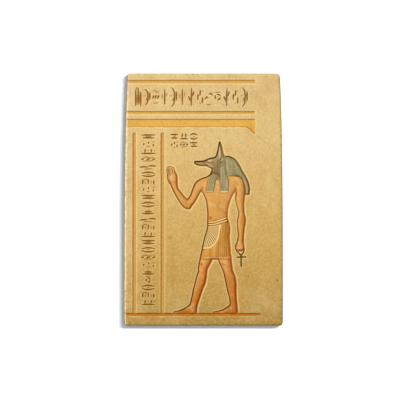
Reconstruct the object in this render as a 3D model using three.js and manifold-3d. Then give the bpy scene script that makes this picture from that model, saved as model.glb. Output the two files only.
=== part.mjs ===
// A wall plaque cast in one piece of stone mix: a slab with a standing jackal-headed figure and
// rows of small strokes, all sunk below its face. The figure rises again inside its own sinking,
// so no part of it stands above the face.
//
// Millimetres, +Z up. The face looks along -Y and the flat back lies at Y = 0. While it is being
// shaped the slab lies on its back: x to the right, y up the slab, z out of its face.
import * as THREE from 'three';
import { mergeVertices } from 'three/addons/utils/BufferGeometryUtils.js';
import Module from 'manifold-3d';

const wasm = await Module();
wasm.setup();

// The slab
const SLAB_HEIGHT = 254;
const SLAB_WIDTH = 160;
const SLAB_THICKNESS = 16;
const TOP_LEFT_LEAN = 3.4;
const TOP_RIGHT_LEAN = 2.8;
const SIDE_BULGE = 0.5;
const TOP_LEFT_CORNER = 2;
const TOP_RIGHT_CORNER = 5;
const BOTTOM_CORNER = 3.5;
const EDGE_ROUNDING = 1.6;

// The ruled bands along the top, measured down from the slab's top edge
const BAND_END_MARGIN = 27.9;
const TOP_BAND_DROP = 6.6;
const TOP_BAND_WIDTH = 3.2;
const SECOND_BAND_DROP = 37.9;
const SECOND_BAND_WIDTH = 3;
const CORNICE_DROP = 45.9;
const CORNICE_WIDTH = 8;
const CORNICE_HOOK_DROP = 7.4;
const CORNICE_HOOK_WIDTH = 9;
const BAND_DEPTH = 1.1;

// The two upright grooves beside the sign column, measured from the slab's left edge
const LEFT_GROOVE_INSET = 8.7;
const RIGHT_GROOVE_INSET = 37.1;
const GROOVE_WIDTH = 3.3;
const GROOVE_TOP_GAP = 6;

// The ground line that the figure stands on, measured up from the slab's bottom edge
const GROUND_RISE = 9.8;
const GROUND_WIDTH = 2.9;
const GROUND_END_MARGIN = 22.3;

// The figure and its sinking
const HEAD_ROOM = 15.2;
const HAND_GAP = 3.3;
const SINKING = 2.4;
const FACE_CLEARANCE = 0.35;
const LOW_FORM_DROP = 0.6;
const WALL_GAP = 0.3;
const WALL_DRAFT = 0.6;
const LAYER_SINKING = 1.1;
const APRON_BED = 0.8;
const APRON_ROUNDING = 0.6;
const FOLD_COUNT = 9;

// Lines cut into the figure
const HAIR_LINE = 0.7;
const HAIR_DEPTH = 0.5;
const PLEAT_LINE = 0.7;
const PLEAT_DEPTH = 0.5;
const DRAWN_LINE = 0.8;
const DRAWN_DEPTH = 0.7;
const CROSS_LINE = 1.5;
const CROSS_DEPTH = 1.1;

// The small signs
const SIGN_DEPTH = 0.8;
const SIGN_LINE = 1.15;
const SIGN_GAP = 2.4;
const ROW_SIGN_PITCH = 8.9;
const ROW_START_INSET = 10;
const ROW_EDGE_GAP = 4.6;
const ROW_STAGGER = 3;
const COLUMN_SIGN_PITCH = 7.6;
const COLUMN_EDGE_GAP = 5.5;
const CAPTION_SIGN_WIDTH = 8;
const CAPTION_SIGN_HEIGHT = 6.5;
const CAPTION_SPACING = 1.8;
const CAPTION_GAP = 5.5;

// A knock on the slab's top edge
const NICK_OVER = -10.5;
const NICK_RADIUS = 1.2;

// How finely the round forms are faceted
const CURVE_SEGMENTS = 8;
const ROUNDING_STEPS = 3;
const BROAD_SIDES = 12;
const SLENDER_SIDES = 8;
const BROAD_STEPS = 9;
const SLENDER_STEPS = 7;
const APRON_POINTS = 22;

// How flat the round forms are, 1 for a half ellipse and 0 for a flat top
const FLATNESS = 0.6;
const SHARPEST_CORNER = 0.4;
const OVERSHOOT = 1;
const MERGE_DISTANCE = 1e-4;

// How thick a cut line is at its ends, and how much it swells in its middle
const CUT_END = 0.55;
const CUT_SWELL = 0.8;

// Places that follow from the sizes above
const left = -SLAB_WIDTH / 2;
const right = SLAB_WIDTH / 2;
const top = SLAB_HEIGHT / 2;
const bottom = -SLAB_HEIGHT / 2;
const face = SLAB_THICKNESS;
const bandEnd = right - BAND_END_MARGIN;
const groundTop = bottom + GROUND_RISE + GROUND_WIDTH;
const corniceBottom = top - CORNICE_DROP - CORNICE_WIDTH;
const figureHeight = corniceBottom - groundTop - HEAD_ROOM;
const leftGroove = left + LEFT_GROOVE_INSET;
const rightGroove = left + RIGHT_GROOVE_INSET;

/** The solid that a closed three.js geometry bounds. */
function solid(geometry) {
  const bare = geometry.clone();
  bare.deleteAttribute('normal');
  bare.deleteAttribute('uv');
  const merged = mergeVertices(bare, MERGE_DISTANCE);
  const vertProperties = new Float32Array(merged.attributes.position.array);
  const triVerts = new Uint32Array(merged.index.array);
  return new wasm.Manifold(new wasm.Mesh({ numProp: 3, vertProperties, triVerts }));
}

/** The join of many solids. */
function joined(solids) {
  return solids.reduce((sum, item) => sum.add(item));
}

/** An upright prism on a flat outline, from one height to another. */
function prism(outline, low, high) {
  const geometry = new THREE.ExtrudeGeometry(outline, { depth: high - low, bevelEnabled: false });
  geometry.translate(0, 0, low);
  return solid(geometry);
}

/** The flat outline through a few points, rounded as a smooth closed curve. */
function smoothOutline(points, count) {
  const curve = new THREE.CatmullRomCurve3(
    points.map((p) => new THREE.Vector3(p.x, p.y, 0)),
    true,
    'centripetal',
  );
  return curve.getPoints(count).slice(0, count).map((p) => new THREE.Vector2(p.x, p.y));
}

/** A straight-sided outline. */
function cornered(points) {
  return new THREE.Shape(points.map(([x, y]) => new THREE.Vector2(x, y)));
}

/** Moves the points of a unit geometry onto a ribbon: x runs from one edge of it to the other, y
 * along it from 0 to 1, and z out of the face, scaled to `rise` about the height `base`. */
function alongRibbon(geometry, ribbon, base, rise) {
  const position = geometry.attributes.position;
  for (let i = 0; i < position.count; i += 1) {
    const along = position.getY(i) + 0.5;
    const across = (position.getX(i) + 1) / 2;
    const near = ribbon.left.getPoint(along);
    const far = ribbon.right.getPoint(along);
    near.lerp(far, across);
    position.setXYZ(i, near.x, near.y, base + position.getZ(i) * rise);
  }
  return solid(geometry);
}

/** A ribbon from the points of its left and right edges, bottom end first. */
function ribbonOf(leftPoints, rightPoints) {
  return { left: new THREE.SplineCurve(leftPoints), right: new THREE.SplineCurve(rightPoints) };
}

/** The same ribbon with every cross-line and both ends lengthened by a margin. */
function widened(ribbon, margin) {
  const lefts = ribbon.left.points.map((p) => p.clone());
  const rights = ribbon.right.points.map((p) => p.clone());
  lefts.forEach((point, i) => {
    const across = rights[i].clone().sub(point).setLength(margin);
    point.sub(across);
    rights[i].add(across);
  });
  const last = lefts.length - 1;
  [[0, 1], [last, last - 1]].forEach(([end, inner]) => {
    const endMiddle = lefts[end].clone().add(rights[end]);
    const innerMiddle = lefts[inner].clone().add(rights[inner]);
    const outward = endMiddle.sub(innerMiddle).setLength(margin);
    lefts[end].add(outward);
    rights[end].add(outward);
  });
  return ribbonOf(lefts, rights);
}

/** The ribbon of a limb from its middle points, each with its half width, in order. */
function limbRibbon(middles) {
  const spine = new THREE.SplineCurve(middles.map((m) => new THREE.Vector2(m.x, m.y)));
  const lefts = [];
  const rights = [];
  middles.forEach((m, i) => {
    const heading = spine.getTangent(i / (middles.length - 1));
    const across = new THREE.Vector2(heading.y, -heading.x).multiplyScalar(m.half);
    lefts.push(new THREE.Vector2(m.x, m.y).sub(across));
    rights.push(new THREE.Vector2(m.x, m.y).add(across));
  });
  return ribbonOf(lefts, rights);
}

/** A rounded limb standing on the floor of the sinking. */
function limb({ ribbon, rise, steps, sides }) {
  const bar = new THREE.CylinderGeometry(1, 1, 1, sides, steps);
  const position = bar.attributes.position;
  for (let i = 0; i < position.count; i += 1) {
    const height = position.getZ(i);
    position.setZ(i, Math.sign(height) * Math.abs(height) ** FLATNESS);
  }
  return alongRibbon(bar, ribbon, face - SINKING, rise);
}

/** The sinking around a limb: walls that lean back from its floor to the face. */
function limbPocket({ ribbon, steps }, sinking) {
  const floorRibbon = widened(ribbon, WALL_GAP);
  const draft = (WALL_DRAFT * (sinking + OVERSHOOT)) / SINKING;
  const block = new THREE.BoxGeometry(2, 1, 1, 1, steps, 1);
  const position = block.attributes.position;
  for (let i = 0; i < position.count; i += 1) {
    if (position.getZ(i) > 0) {
      const along = position.getY(i) + 0.5;
      const half = floorRibbon.left.getPoint(along).distanceTo(floorRibbon.right.getPoint(along)) / 2;
      position.setX(i, position.getX(i) * (1 + draft / half));
    }
  }
  const tall = sinking + OVERSHOOT;
  return alongRibbon(block, floorRibbon, face - sinking + tall / 2, tall);
}

/** A flat-topped form with rounded edges, from within the slab up to its top. */
function pillow(outline, high, rounding) {
  const geometry = new THREE.ExtrudeGeometry(new THREE.Shape(outline), {
    depth: SINKING,
    bevelThickness: rounding,
    bevelSize: rounding,
    bevelOffset: -rounding,
    bevelSegments: 2,
  });
  geometry.translate(0, 0, high - SINKING - rounding);
  return solid(geometry);
}

/** A cut of V section along a line of points: narrow at its ends and full in its middle. */
function vCut(points, width, depth, surface, steps) {
  const path = new THREE.SplineCurve(points);
  const spindle = new THREE.CylinderGeometry(CUT_END, CUT_END, 1, 4, steps);
  const position = spindle.attributes.position;
  for (let i = 0; i < position.count; i += 1) {
    const along = position.getY(i) + 0.5;
    const full = 1 + CUT_SWELL * Math.sin(Math.PI * along);
    const place = path.getPoint(along);
    const heading = path.getTangent(along);
    const offset = (position.getX(i) * full * width) / 2;
    place.x += heading.y * offset;
    place.y -= heading.x * offset;
    position.setXYZ(i, place.x, place.y, surface + position.getZ(i) * full * depth);
  }
  return solid(spindle);
}

/** The slab's outline, pulled in by an inset: sides that bow and lean in to the top, round corners. */
function slabOutline(inset) {
  const topLeft = left + TOP_LEFT_LEAN + inset;
  const topRight = right - TOP_RIGHT_LEAN - inset;
  const lowLeft = left + inset;
  const lowRight = right - inset;
  const high = top - inset;
  const low = bottom + inset;
  const [topLeftCorner, topRightCorner, bottomCorner] = [
    TOP_LEFT_CORNER, TOP_RIGHT_CORNER, BOTTOM_CORNER,
  ].map((radius) => Math.max(radius - inset, SHARPEST_CORNER));
  const outline = new THREE.Shape();
  outline.moveTo(lowLeft + bottomCorner, low);
  outline.lineTo(lowRight - bottomCorner, low);
  outline.quadraticCurveTo(lowRight, low, lowRight, low + bottomCorner);
  outline.quadraticCurveTo(lowRight + SIDE_BULGE, high / 2, topRight, high - topRightCorner);
  outline.quadraticCurveTo(topRight, high, topRight - topRightCorner, high);
  outline.lineTo(topLeft + topLeftCorner, high);
  outline.quadraticCurveTo(topLeft, high, topLeft, high - topLeftCorner);
  outline.quadraticCurveTo(lowLeft - SIDE_BULGE, high / 2, lowLeft, low + bottomCorner);
  outline.quadraticCurveTo(lowLeft, low, lowLeft + bottomCorner, low);
  return outline.getPoints(CURVE_SEGMENTS).slice(0, -1);
}

/** A closed body through outlines of equally many points, one above another. */
function stacked(outlines, heights) {
  const count = outlines[0].length;
  const places = outlines.flatMap((points, i) => points.flatMap((p) => [p.x, p.y, heights[i]]));
  const index = [];
  for (let layer = 0; layer + 1 < outlines.length; layer += 1) {
    for (let k = 0; k < count; k += 1) {
      const here = layer * count + k;
      const next = layer * count + ((k + 1) % count);
      index.push(here, next, next + count, here, next + count, here + count);
    }
  }
  const lastRing = (outlines.length - 1) * count;
  THREE.ShapeUtils.triangulateShape(outlines[0], []).forEach(([a, b, c]) => index.push(a, c, b));
  THREE.ShapeUtils.triangulateShape(outlines.at(-1), []).forEach(([a, b, c]) => {
    index.push(a + lastRing, b + lastRing, c + lastRing);
  });
  const geometry = new THREE.BufferGeometry();
  geometry.setAttribute('position', new THREE.Float32BufferAttribute(places, 3));
  geometry.setIndex(index);
  return solid(geometry);
}

/** The slab before it is carved: a flat back, and a rounded edge all round its face. */
function slabBlank() {
  const outlines = [slabOutline(0)];
  const heights = [0];
  for (let i = 0; i <= ROUNDING_STEPS; i += 1) {
    const turn = (Math.PI / 2) * (i / ROUNDING_STEPS);
    outlines.push(slabOutline(EDGE_ROUNDING * (1 - Math.cos(turn))));
    heights.push(face - EDGE_ROUNDING * (1 - Math.sin(turn)));
  }
  return stacked(outlines, heights);
}

/** A straight band sunk into the face, between two corners. */
function band(x0, y0, x1, y1) {
  const outline = cornered([[x0, y0], [x1, y0], [x1, y1], [x0, y1]]);
  return prism(outline, face - BAND_DEPTH, face + OVERSHOOT);
}

/** The bands, the cornice with its hooked end, the two upright grooves and the ground line. */
function ruledBands() {
  const past = left - SIDE_BULGE - OVERSHOOT;
  const corniceTop = top - CORNICE_DROP;
  const cornice = cornered([
    [past, corniceTop],
    [past, corniceBottom],
    [bandEnd - CORNICE_HOOK_WIDTH, corniceBottom],
    [bandEnd, corniceBottom - CORNICE_HOOK_DROP],
    [bandEnd, corniceTop],
  ]);
  const grooveTop = corniceBottom - GROOVE_TOP_GAP;
  const groundBottom = groundTop - GROUND_WIDTH;
  return [
    band(past, top - TOP_BAND_DROP - TOP_BAND_WIDTH, bandEnd, top - TOP_BAND_DROP),
    band(past, top - SECOND_BAND_DROP - SECOND_BAND_WIDTH, bandEnd, top - SECOND_BAND_DROP),
    prism(cornice, face - BAND_DEPTH, face + OVERSHOOT),
    band(leftGroove, groundBottom, leftGroove + GROOVE_WIDTH, grooveTop),
    band(rightGroove, groundBottom, rightGroove + GROOVE_WIDTH, grooveTop),
    band(past, groundBottom, right - GROUND_END_MARGIN, groundTop),
  ];
}

// Each form of the figure is drawn in hundredths of the figure's height: `up` above the ground
// line and `over` to the right of the middle of its stride. The tip of the ear is at 100.
const HAND_REACH = 28.5;
const unit = figureHeight / 100;
const strideX = rightGroove + GROOVE_WIDTH + HAND_GAP + HAND_REACH * unit;

/** A place on the face from a place on the figure. */
function onFigure(over, up) {
  return new THREE.Vector2(strideX + over * unit, groundTop + up * unit);
}

/** An upright form from rows of [up, left edge, right edge], the lowest row first. */
function upright(rows) {
  return ribbonOf(
    rows.map(([up, leftEdge]) => onFigure(leftEdge, up)),
    rows.map(([up, , rightEdge]) => onFigure(rightEdge, up)),
  );
}

/** A form that lies level, from rows of [over, lower edge, upper edge], from left to right. */
function level(rows) {
  return ribbonOf(
    rows.map(([over, , upper]) => onFigure(over, upper)),
    rows.map(([over, lower]) => onFigure(over, lower)),
  );
}

/** A limb from rows of [over, up, half width] along its middle. */
function slanting(rows) {
  return limbRibbon(rows.map(([over, up, half]) => ({ ...onFigure(over, up), half: half * unit })));
}

// Bare body
const torso = upright([
  [50.9, -5.0, 7.6], [54.4, -5.0, 6.9], [58.5, -4.9, 6.7], [62.6, -5.1, 7.4], [66.1, -5.7, 8.5],
  [69.0, -7.0, 9.8], [71.9, -8.5, 11.7], [76.0, -9.6, 14.6],
  [79.4, -5.8, 13.2], [82.4, -1.4, 9.6],
]);
const loweredArm = upright([
  [41.5, 12.6, 16.0], [46.2, 12.9, 16.3], [49.7, 12.5, 16.7], [54.4, 12.5, 17.4], [58.5, 13.2, 16.5],
  [63.2, 12.0, 16.3], [66.7, 11.4, 16.7], [71.1, 11.7, 17.0], [75.0, 11.1, 16.8], [78.4, 10.5, 15.0],
]);
const fist = upright([
  [36.2, 12.6, 15.8], [37.4, 11.4, 16.6], [39.2, 11.3, 16.4], [40.9, 12.0, 16.1], [43.3, 12.9, 15.9],
]);
const raisedUpperArm = slanting([
  [-3.0, 76.2, 3.0], [-6.2, 76.1, 3.2], [-9.3, 74.6, 3.1], [-11.3, 71.9, 2.5], [-12.7, 68.7, 2.2],
  [-14.3, 65.8, 2.2], [-16.3, 63.3, 2.3],
]);
const raisedForearm = slanting([
  [-15.4, 64.2, 2.0], [-16.9, 63.4, 2.5], [-18.6, 64.9, 2.3], [-20.5, 67.4, 2.0],
  [-22.3, 70.1, 1.8], [-23.8, 72.7, 1.6], [-24.6, 75.6, 2.0], [-25.0, 78.4, 2.4],
  [-25.3, 81.0, 2.3], [-26.1, 83.4, 1.7], [-27.0, 85.3, 0.8],
]);
const thumb = slanting([[-26.0, 76.0, 0.9], [-27.3, 78.1, 0.8], [-27.8, 79.7, 0.6], [-28.1, 80.6, 0.3]]);
const frontLeg = upright([
  [0.2, -15.6, -11.2], [2.9, -15.8, -11.1], [5.8, -15.1, -10.4], [9.4, -14.3, -9.2],
  [13.5, -13.4, -7.8], [17.5, -12.4, -6.2], [21.1, -11.5, -5.5], [24.0, -10.5, -5.3],
  [26.3, -10.4, -4.7], [29.8, -9.9, -2.8], [33.9, -8.9, -1.2],
]);
const backLeg = upright([
  [0.2, 7.6, 12.8], [2.9, 7.4, 12.6], [5.3, 8.1, 12.3], [8.8, 7.8, 12.0], [12.9, 6.7, 11.9],
  [17.0, 5.8, 11.9], [21.1, 5.0, 11.3], [24.0, 4.3, 10.1], [26.3, 3.4, 9.6], [29.8, 1.8, 9.1],
  [33.9, 0.6, 8.8],
]);
const frontFoot = level([
  [-25.1, 0.2, 0.9], [-23.4, 0.1, 1.2], [-21.1, 0.1, 1.7], [-18.7, 0.1, 2.8], [-16.4, 0.1, 4.2],
  [-14.2, 0.1, 5.4], [-12.4, 0.3, 3.6],
]);
const backFoot = level([
  [-1.8, 0.2, 0.7], [0.6, 0.1, 1.1], [2.9, 0.1, 1.6], [5.3, 0.1, 2.8], [7.6, 0.1, 4.3],
  [9.8, 0.1, 5.4], [11.6, 0.3, 3.6],
]);

// Head: the long muzzle, one pointed ear, and the neck that shows between the wig's lappets
const jackalHead = level([
  [-12.9, 87.9, 88.7], [-11.7, 86.7, 88.9], [-9.4, 85.9, 89.0], [-7.0, 85.7, 89.3],
  [-5.3, 85.4, 89.9], [-3.5, 84.7, 90.5], [-1.8, 84.0, 90.9], [0.3, 83.5, 91.3], [2.9, 83.3, 91.2],
]);
const ear = upright([
  [88.9, -0.3, 3.8], [90.9, -0.3, 4.7], [93.0, 0.5, 4.4], [95.3, 1.1, 3.7], [97.7, 1.5, 3.1],
  [99.9, 2.0, 2.4],
]);
const neck = upright([[76.0, -2.3, 3.5], [79.5, -3.5, 4.1], [82.5, -2.5, 3.5], [85.4, -2.3, 3.5]]);

// Wig: the hair over the crown and down the back, and a lappet before and behind the chest
const backHair = ribbonOf(
  [
    [17.3, 69.4], [17.1, 72.8], [16.3, 75.7], [14.9, 78.6], [12.4, 80.0], [9.8, 80.3],
    [7.0, 80.3], [4.6, 80.9], [2.3, 81.3],
  ].map(([over, up]) => onFigure(over, up)),
  [
    [19.4, 69.4], [19.5, 73.1], [18.7, 76.6], [17.2, 79.8], [15.2, 83.1], [13.3, 87.0],
    [10.4, 90.8], [6.4, 92.3], [2.6, 90.9],
  ].map(([over, up]) => onFigure(over, up)),
);
const farLappet = upright([
  [70.7, -5.8, -1.5], [73.7, -5.3, -0.9], [76.0, -4.9, -0.4], [78.7, -4.2, 0.3], [80.7, -3.0, 1.8],
  [83.0, -2.0, 2.3],
]);
const nearLappet = upright([
  [70.3, 2.5, 7.0], [74.9, 2.5, 7.4], [78.4, 2.3, 7.3], [81.3, 2.3, 6.2], [84.8, 2.3, 5.6],
  [88.0, 2.4, 5.3], [91.2, 2.8, 4.9],
]);

// Dress: a knee-length kilt, its two-cord belt, and a pleated apron that falls at the front
const kilt = upright([
  [31.3, -9.5, 8.9], [35.1, -8.7, 8.5], [39.2, -7.9, 8.2], [43.9, -6.8, 7.8], [47.4, -5.7, 8.1],
  [50.9, -5.0, 8.0], [54.4, -5.0, 7.0],
]);
const beltCords = [
  slanting([[-4.9, 52.4, 0.45], [-1.4, 53.1, 0.45], [3.0, 54.7, 0.45], [6.4, 56.3, 0.4]]),
  slanting([[-4.9, 51.2, 0.45], [-1.0, 51.9, 0.45], [3.6, 53.2, 0.45], [6.9, 54.6, 0.4]]),
];
const apron = [
  [-4.9, 50.8], [-1.0, 51.2], [2.9, 51.6], [2.5, 48.0], [2.0, 45.0], [1.1, 42.0], [-0.6, 39.8],
  [-2.6, 38.1], [-5.3, 37.4], [-8.1, 37.6], [-7.4, 40.6], [-6.6, 44.2], [-5.5, 47.8],
].map(([over, up]) => onFigure(over, up));
const FOLD_CORNER = onFigure(-7.8, 50.9);
const FOLD_START = 5.4;
const SHORTEST_FOLD = 9.4;
const LONGEST_FOLD = 12.2;
const HIGHEST_FOLD_TURN = -14;
const LOWEST_FOLD_TURN = -84;

const bodyRise = SINKING - FACE_CLEARANCE;
const lowRise = bodyRise - LOW_FORM_DROP;
const bodyTop = face - FACE_CLEARANCE;
const apronTop = face - FACE_CLEARANCE / 2;

/** A broad form, such as the torso or a leg. */
function broad(ribbon) {
  return { ribbon, rise: bodyRise, steps: BROAD_STEPS, sides: BROAD_SIDES };
}

/** A slender form, such as a foot or the ear. */
function slender(ribbon, rise = bodyRise) {
  return { ribbon, rise, steps: SLENDER_STEPS, sides: SLENDER_SIDES };
}

/** The forms that stand in the one sinking. */
const bodyForms = [
  broad(torso),
  broad(loweredArm),
  slender(fist),
  broad(raisedUpperArm),
  broad(raisedForearm),
  slender(thumb, lowRise),
  broad(frontLeg),
  broad(backLeg),
  slender(frontFoot),
  slender(backFoot),
  slender(neck, lowRise),
  broad(jackalHead),
  slender(ear, lowRise),
  broad(kilt),
  broad(backHair),
];

/** The forms that lie over others, each in a shallow sinking of its own. */
const laidOver = [slender(farLappet), slender(nearLappet)];

/** The height of a rounded form's skin at a share of the way across it. */
function skinHeight(across, rise) {
  const fromMiddle = 2 * across - 1;
  const round = Math.sqrt(1 - fromMiddle * fromMiddle);
  return face - SINKING + rise * round ** FLATNESS;
}

/** A cut that follows a form's length, a share of the way across it. */
function lengthwiseCut(form, across, from, to, width, depth) {
  const points = [];
  const pieces = 4;
  for (let i = 0; i <= pieces; i += 1) {
    const along = from + ((to - from) * i) / pieces;
    points.push(form.ribbon.left.getPoint(along).lerp(form.ribbon.right.getPoint(along), across));
  }
  return vCut(points, width, depth, skinHeight(across, form.rise), pieces + 1);
}

/** Strands cut into the wig, pleats into the kilt and folds into its apron. */
function dressCuts() {
  const cuts = [];
  const hair = broad(backHair);
  const [far, near] = laidOver;
  [0.24, 0.42, 0.6, 0.78].forEach((across) => {
    cuts.push(lengthwiseCut(hair, across, 0.02, 0.86, HAIR_LINE, HAIR_DEPTH));
  });
  [0.3, 0.52, 0.74].forEach((across) => {
    cuts.push(lengthwiseCut(near, across, 0.08, 0.94, HAIR_LINE, HAIR_DEPTH));
  });
  [0.34, 0.66].forEach((across) => {
    cuts.push(lengthwiseCut(far, across, 0.1, 0.8, HAIR_LINE, HAIR_DEPTH));
  });
  const skirt = broad(kilt);
  [0.62, 0.7, 0.78, 0.86].forEach((across) => {
    cuts.push(lengthwiseCut(skirt, across, 0.08, 0.86, PLEAT_LINE, PLEAT_DEPTH));
  });
  for (let i = 0; i < FOLD_COUNT; i += 1) {
    const share = i / (FOLD_COUNT - 1);
    const turn = THREE.MathUtils.lerp(HIGHEST_FOLD_TURN, LOWEST_FOLD_TURN, share);
    const length = THREE.MathUtils.lerp(SHORTEST_FOLD, LONGEST_FOLD, Math.sqrt(share));
    const ends = [FOLD_START, length].map((reach) => new THREE.Vector2(reach * unit, 0)
      .rotateAround(new THREE.Vector2(), THREE.MathUtils.degToRad(turn))
      .add(FOLD_CORNER));
    cuts.push(vCut(ends, PLEAT_LINE, PLEAT_DEPTH, apronTop, 1));
  }
  return cuts;
}

/** Lines cut into the body: the kilt's hem, the eye, mouth, ear, fingers, navel and knees. */
function bodyCuts() {
  const drawn = [
    [[-9.4, 31.4], [0, 31.5], [8.9, 31.4]],
    [[-7.0, 87.6], [-4.4, 87.3], [-2.4, 87.6]],
    [[-11.6, 86.9], [-9.0, 86.6], [-4.6, 86.6]],
    [[2.2, 91.2], [2.7, 94.4], [2.2, 97.4]],
    [[-25.6, 80.0], [-26.2, 82.4], [-27.0, 84.4]],
    [[-24.7, 80.0], [-25.3, 82.4], [-26.1, 84.0]],
    [[-23.9, 80.4], [-24.5, 82.2], [-25.2, 83.4]],
    [[-3.8, 55.6], [-3.2, 55.5]],
    [[-9.4, 28.4], [-7.4, 27.4]],
    [[4.4, 28.6], [6.2, 27.6]],
  ];
  return drawn.map((line) => {
    const points = line.map(([over, up]) => onFigure(over, up));
    return vCut(points, DRAWN_LINE, DRAWN_DEPTH, bodyTop, points.length + 1);
  });
}

/** The looped cross that hangs from the lowered fist: a loop, a bar and a stem, cut in. */
function loopedCross() {
  const lines = [
    [[12.1, 36.6], [13.2, 35.0], [14.7, 33.7]],
    [[16.7, 37.0], [16.1, 35.2], [14.7, 33.7]],
    [[12.2, 32.7], [17.6, 32.8]],
    [[14.7, 33.9], [14.8, 26.8]],
  ];
  return lines.map((line) => {
    const points = line.map(([over, up]) => onFigure(over, up));
    return vCut(points, CROSS_LINE, CROSS_DEPTH, face, 3);
  });
}

/** Three points of an arc in a unit box, from one turn in degrees to another. */
function arc(radius, from, to, x = 0, y = 0) {
  return [from, (from + to) / 2, to].map((degrees) => {
    const turn = THREE.MathUtils.degToRad(degrees);
    return [x + radius * Math.cos(turn), y + radius * Math.sin(turn)];
  });
}

// Each sign is a few plain strokes in a box that runs from -0.5 to 0.5 both ways
const SIGNS = {
  bars: [[[-0.4, -0.5], [-0.38, 0.4]], [[0, -0.4], [0.02, 0.5]], [[0.4, -0.5], [0.4, 0.3]]],
  ring: [arc(0.42, 20, 110), arc(0.42, 140, 230), arc(0.42, 260, 350)],
  dashes: [[[-0.5, -0.1], [-0.3, 0.1]], [[-0.12, -0.1], [0.1, 0.1]], [[0.3, -0.1], [0.5, 0.1]]],
  crook: [[[-0.35, 0.5], [0.1, 0.3], [0.1, -0.3], [-0.3, -0.5]], [[0.45, 0.3], [0.45, -0.2]]],
  staff: [[[0, -0.5], [0, 0.5]]],
  twig: [[[0, -0.5], [0.06, 0.5]], [[0.2, 0.05], [0.45, 0.3]], [[-0.16, -0.2], [-0.42, 0.05]]],
  bows: [arc(0.62, 40, 140, 0, -0.2), arc(0.62, 220, 320, 0, 0.2)],
  ticks: [[[-0.35, -0.2], [-0.3, 0.2]], [[0, 0.1], [0.05, 0.45]], [[0.35, -0.4], [0.38, 0]]],
  slats: [[[-0.5, 0.3], [0.5, 0.3]], [[-0.4, -0.25], [0.45, -0.25]]],
  posts: [[[-0.5, -0.35], [0.5, -0.35]], [[-0.25, -0.1], [-0.2, 0.5]], [[0.2, -0.1], [0.25, 0.45]]],
  ripples: [arc(0.5, 60, 130, -0.3, -0.5), arc(0.5, 50, 120, 0.25, -0.3)],
  mound: [[[-0.25, 0.1], [0.25, 0.12]], [[-0.45, -0.3], [0.45, -0.3]]],
};

/** Cuts one sign into a box on the face; the ring stays round. */
function sign(name, x, y, width, height) {
  const round = Math.min(width, height);
  const [wide, high] = name === 'ring' ? [round, round] : [width, height];
  return SIGNS[name].map((stroke) => {
    const points = stroke.map(([a, b]) => new THREE.Vector2(x + a * wide, y + b * high));
    return vCut(points, SIGN_LINE, SIGN_DEPTH, face, points.length === 2 ? 2 : 3);
  });
}

/** As many signs as a length holds at a pitch, taken in order from a list that starts again. */
function signNames(order, length, pitch) {
  return Array.from({ length: Math.floor(length / pitch) }, (_, i) => order[i % order.length]);
}

/** The row of signs between the two upper bands. */
function signRow() {
  const order = [
    'bars', 'crook', 'dashes', 'staff', 'crook', 'staff', 'twig', 'ticks', 'ripples', 'ring', 'twig',
    'ticks', 'crook',
  ];
  const roof = top - TOP_BAND_DROP - TOP_BAND_WIDTH - ROW_EDGE_GAP;
  const foot = top - SECOND_BAND_DROP + ROW_EDGE_GAP;
  const start = left + ROW_START_INSET;
  return signNames(order, bandEnd - start, ROW_SIGN_PITCH).flatMap((name, i) => {
    const x = start + (i + 0.5) * ROW_SIGN_PITCH;
    const height = roof - foot - (i % 2) * ROW_STAGGER;
    return sign(name, x, (roof + foot) / 2, ROW_SIGN_PITCH - SIGN_GAP, height);
  });
}

/** The column of signs between the two upright grooves. */
function signColumn() {
  const order = [
    'slats', 'ticks', 'posts', 'dashes', 'ripples', 'bows', 'bars', 'ticks', 'slats', 'bows', 'mound',
    'ripples', 'bars', 'posts', 'slats', 'bows', 'dashes', 'ticks', 'mound', 'ring', 'bows', 'bars',
    'posts',
  ];
  const nearEdge = leftGroove + GROOVE_WIDTH + COLUMN_EDGE_GAP;
  const farEdge = rightGroove - COLUMN_EDGE_GAP;
  const roof = corniceBottom - GROOVE_TOP_GAP;
  return signNames(order, roof - groundTop, COLUMN_SIGN_PITCH).flatMap((name, i) => {
    const y = roof - (i + 0.5) * COLUMN_SIGN_PITCH;
    return sign(name, (nearEdge + farEdge) / 2, y, farEdge - nearEdge, COLUMN_SIGN_PITCH - SIGN_GAP);
  });
}

/** The few signs beside the figure's head. */
function caption() {
  const rows = [['slats', 'posts', 'bows'], ['ticks', 'dashes', 'slats']];
  const start = rightGroove + GROOVE_WIDTH + CAPTION_GAP;
  const roof = corniceBottom - CAPTION_GAP;
  return rows.flatMap((row, j) => row.flatMap((name, i) => {
    const x = start + (i + 0.5) * (CAPTION_SIGN_WIDTH + CAPTION_SPACING);
    const y = roof - (j + 0.5) * (CAPTION_SIGN_HEIGHT + CAPTION_SPACING);
    return sign(name, x, y, CAPTION_SIGN_WIDTH, CAPTION_SIGN_HEIGHT);
  }));
}

/** The knock on the top edge of the face. */
function nick() {
  const dent = new THREE.IcosahedronGeometry(NICK_RADIUS, 1);
  return solid(dent.translate(NICK_OVER, top, face));
}

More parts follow.
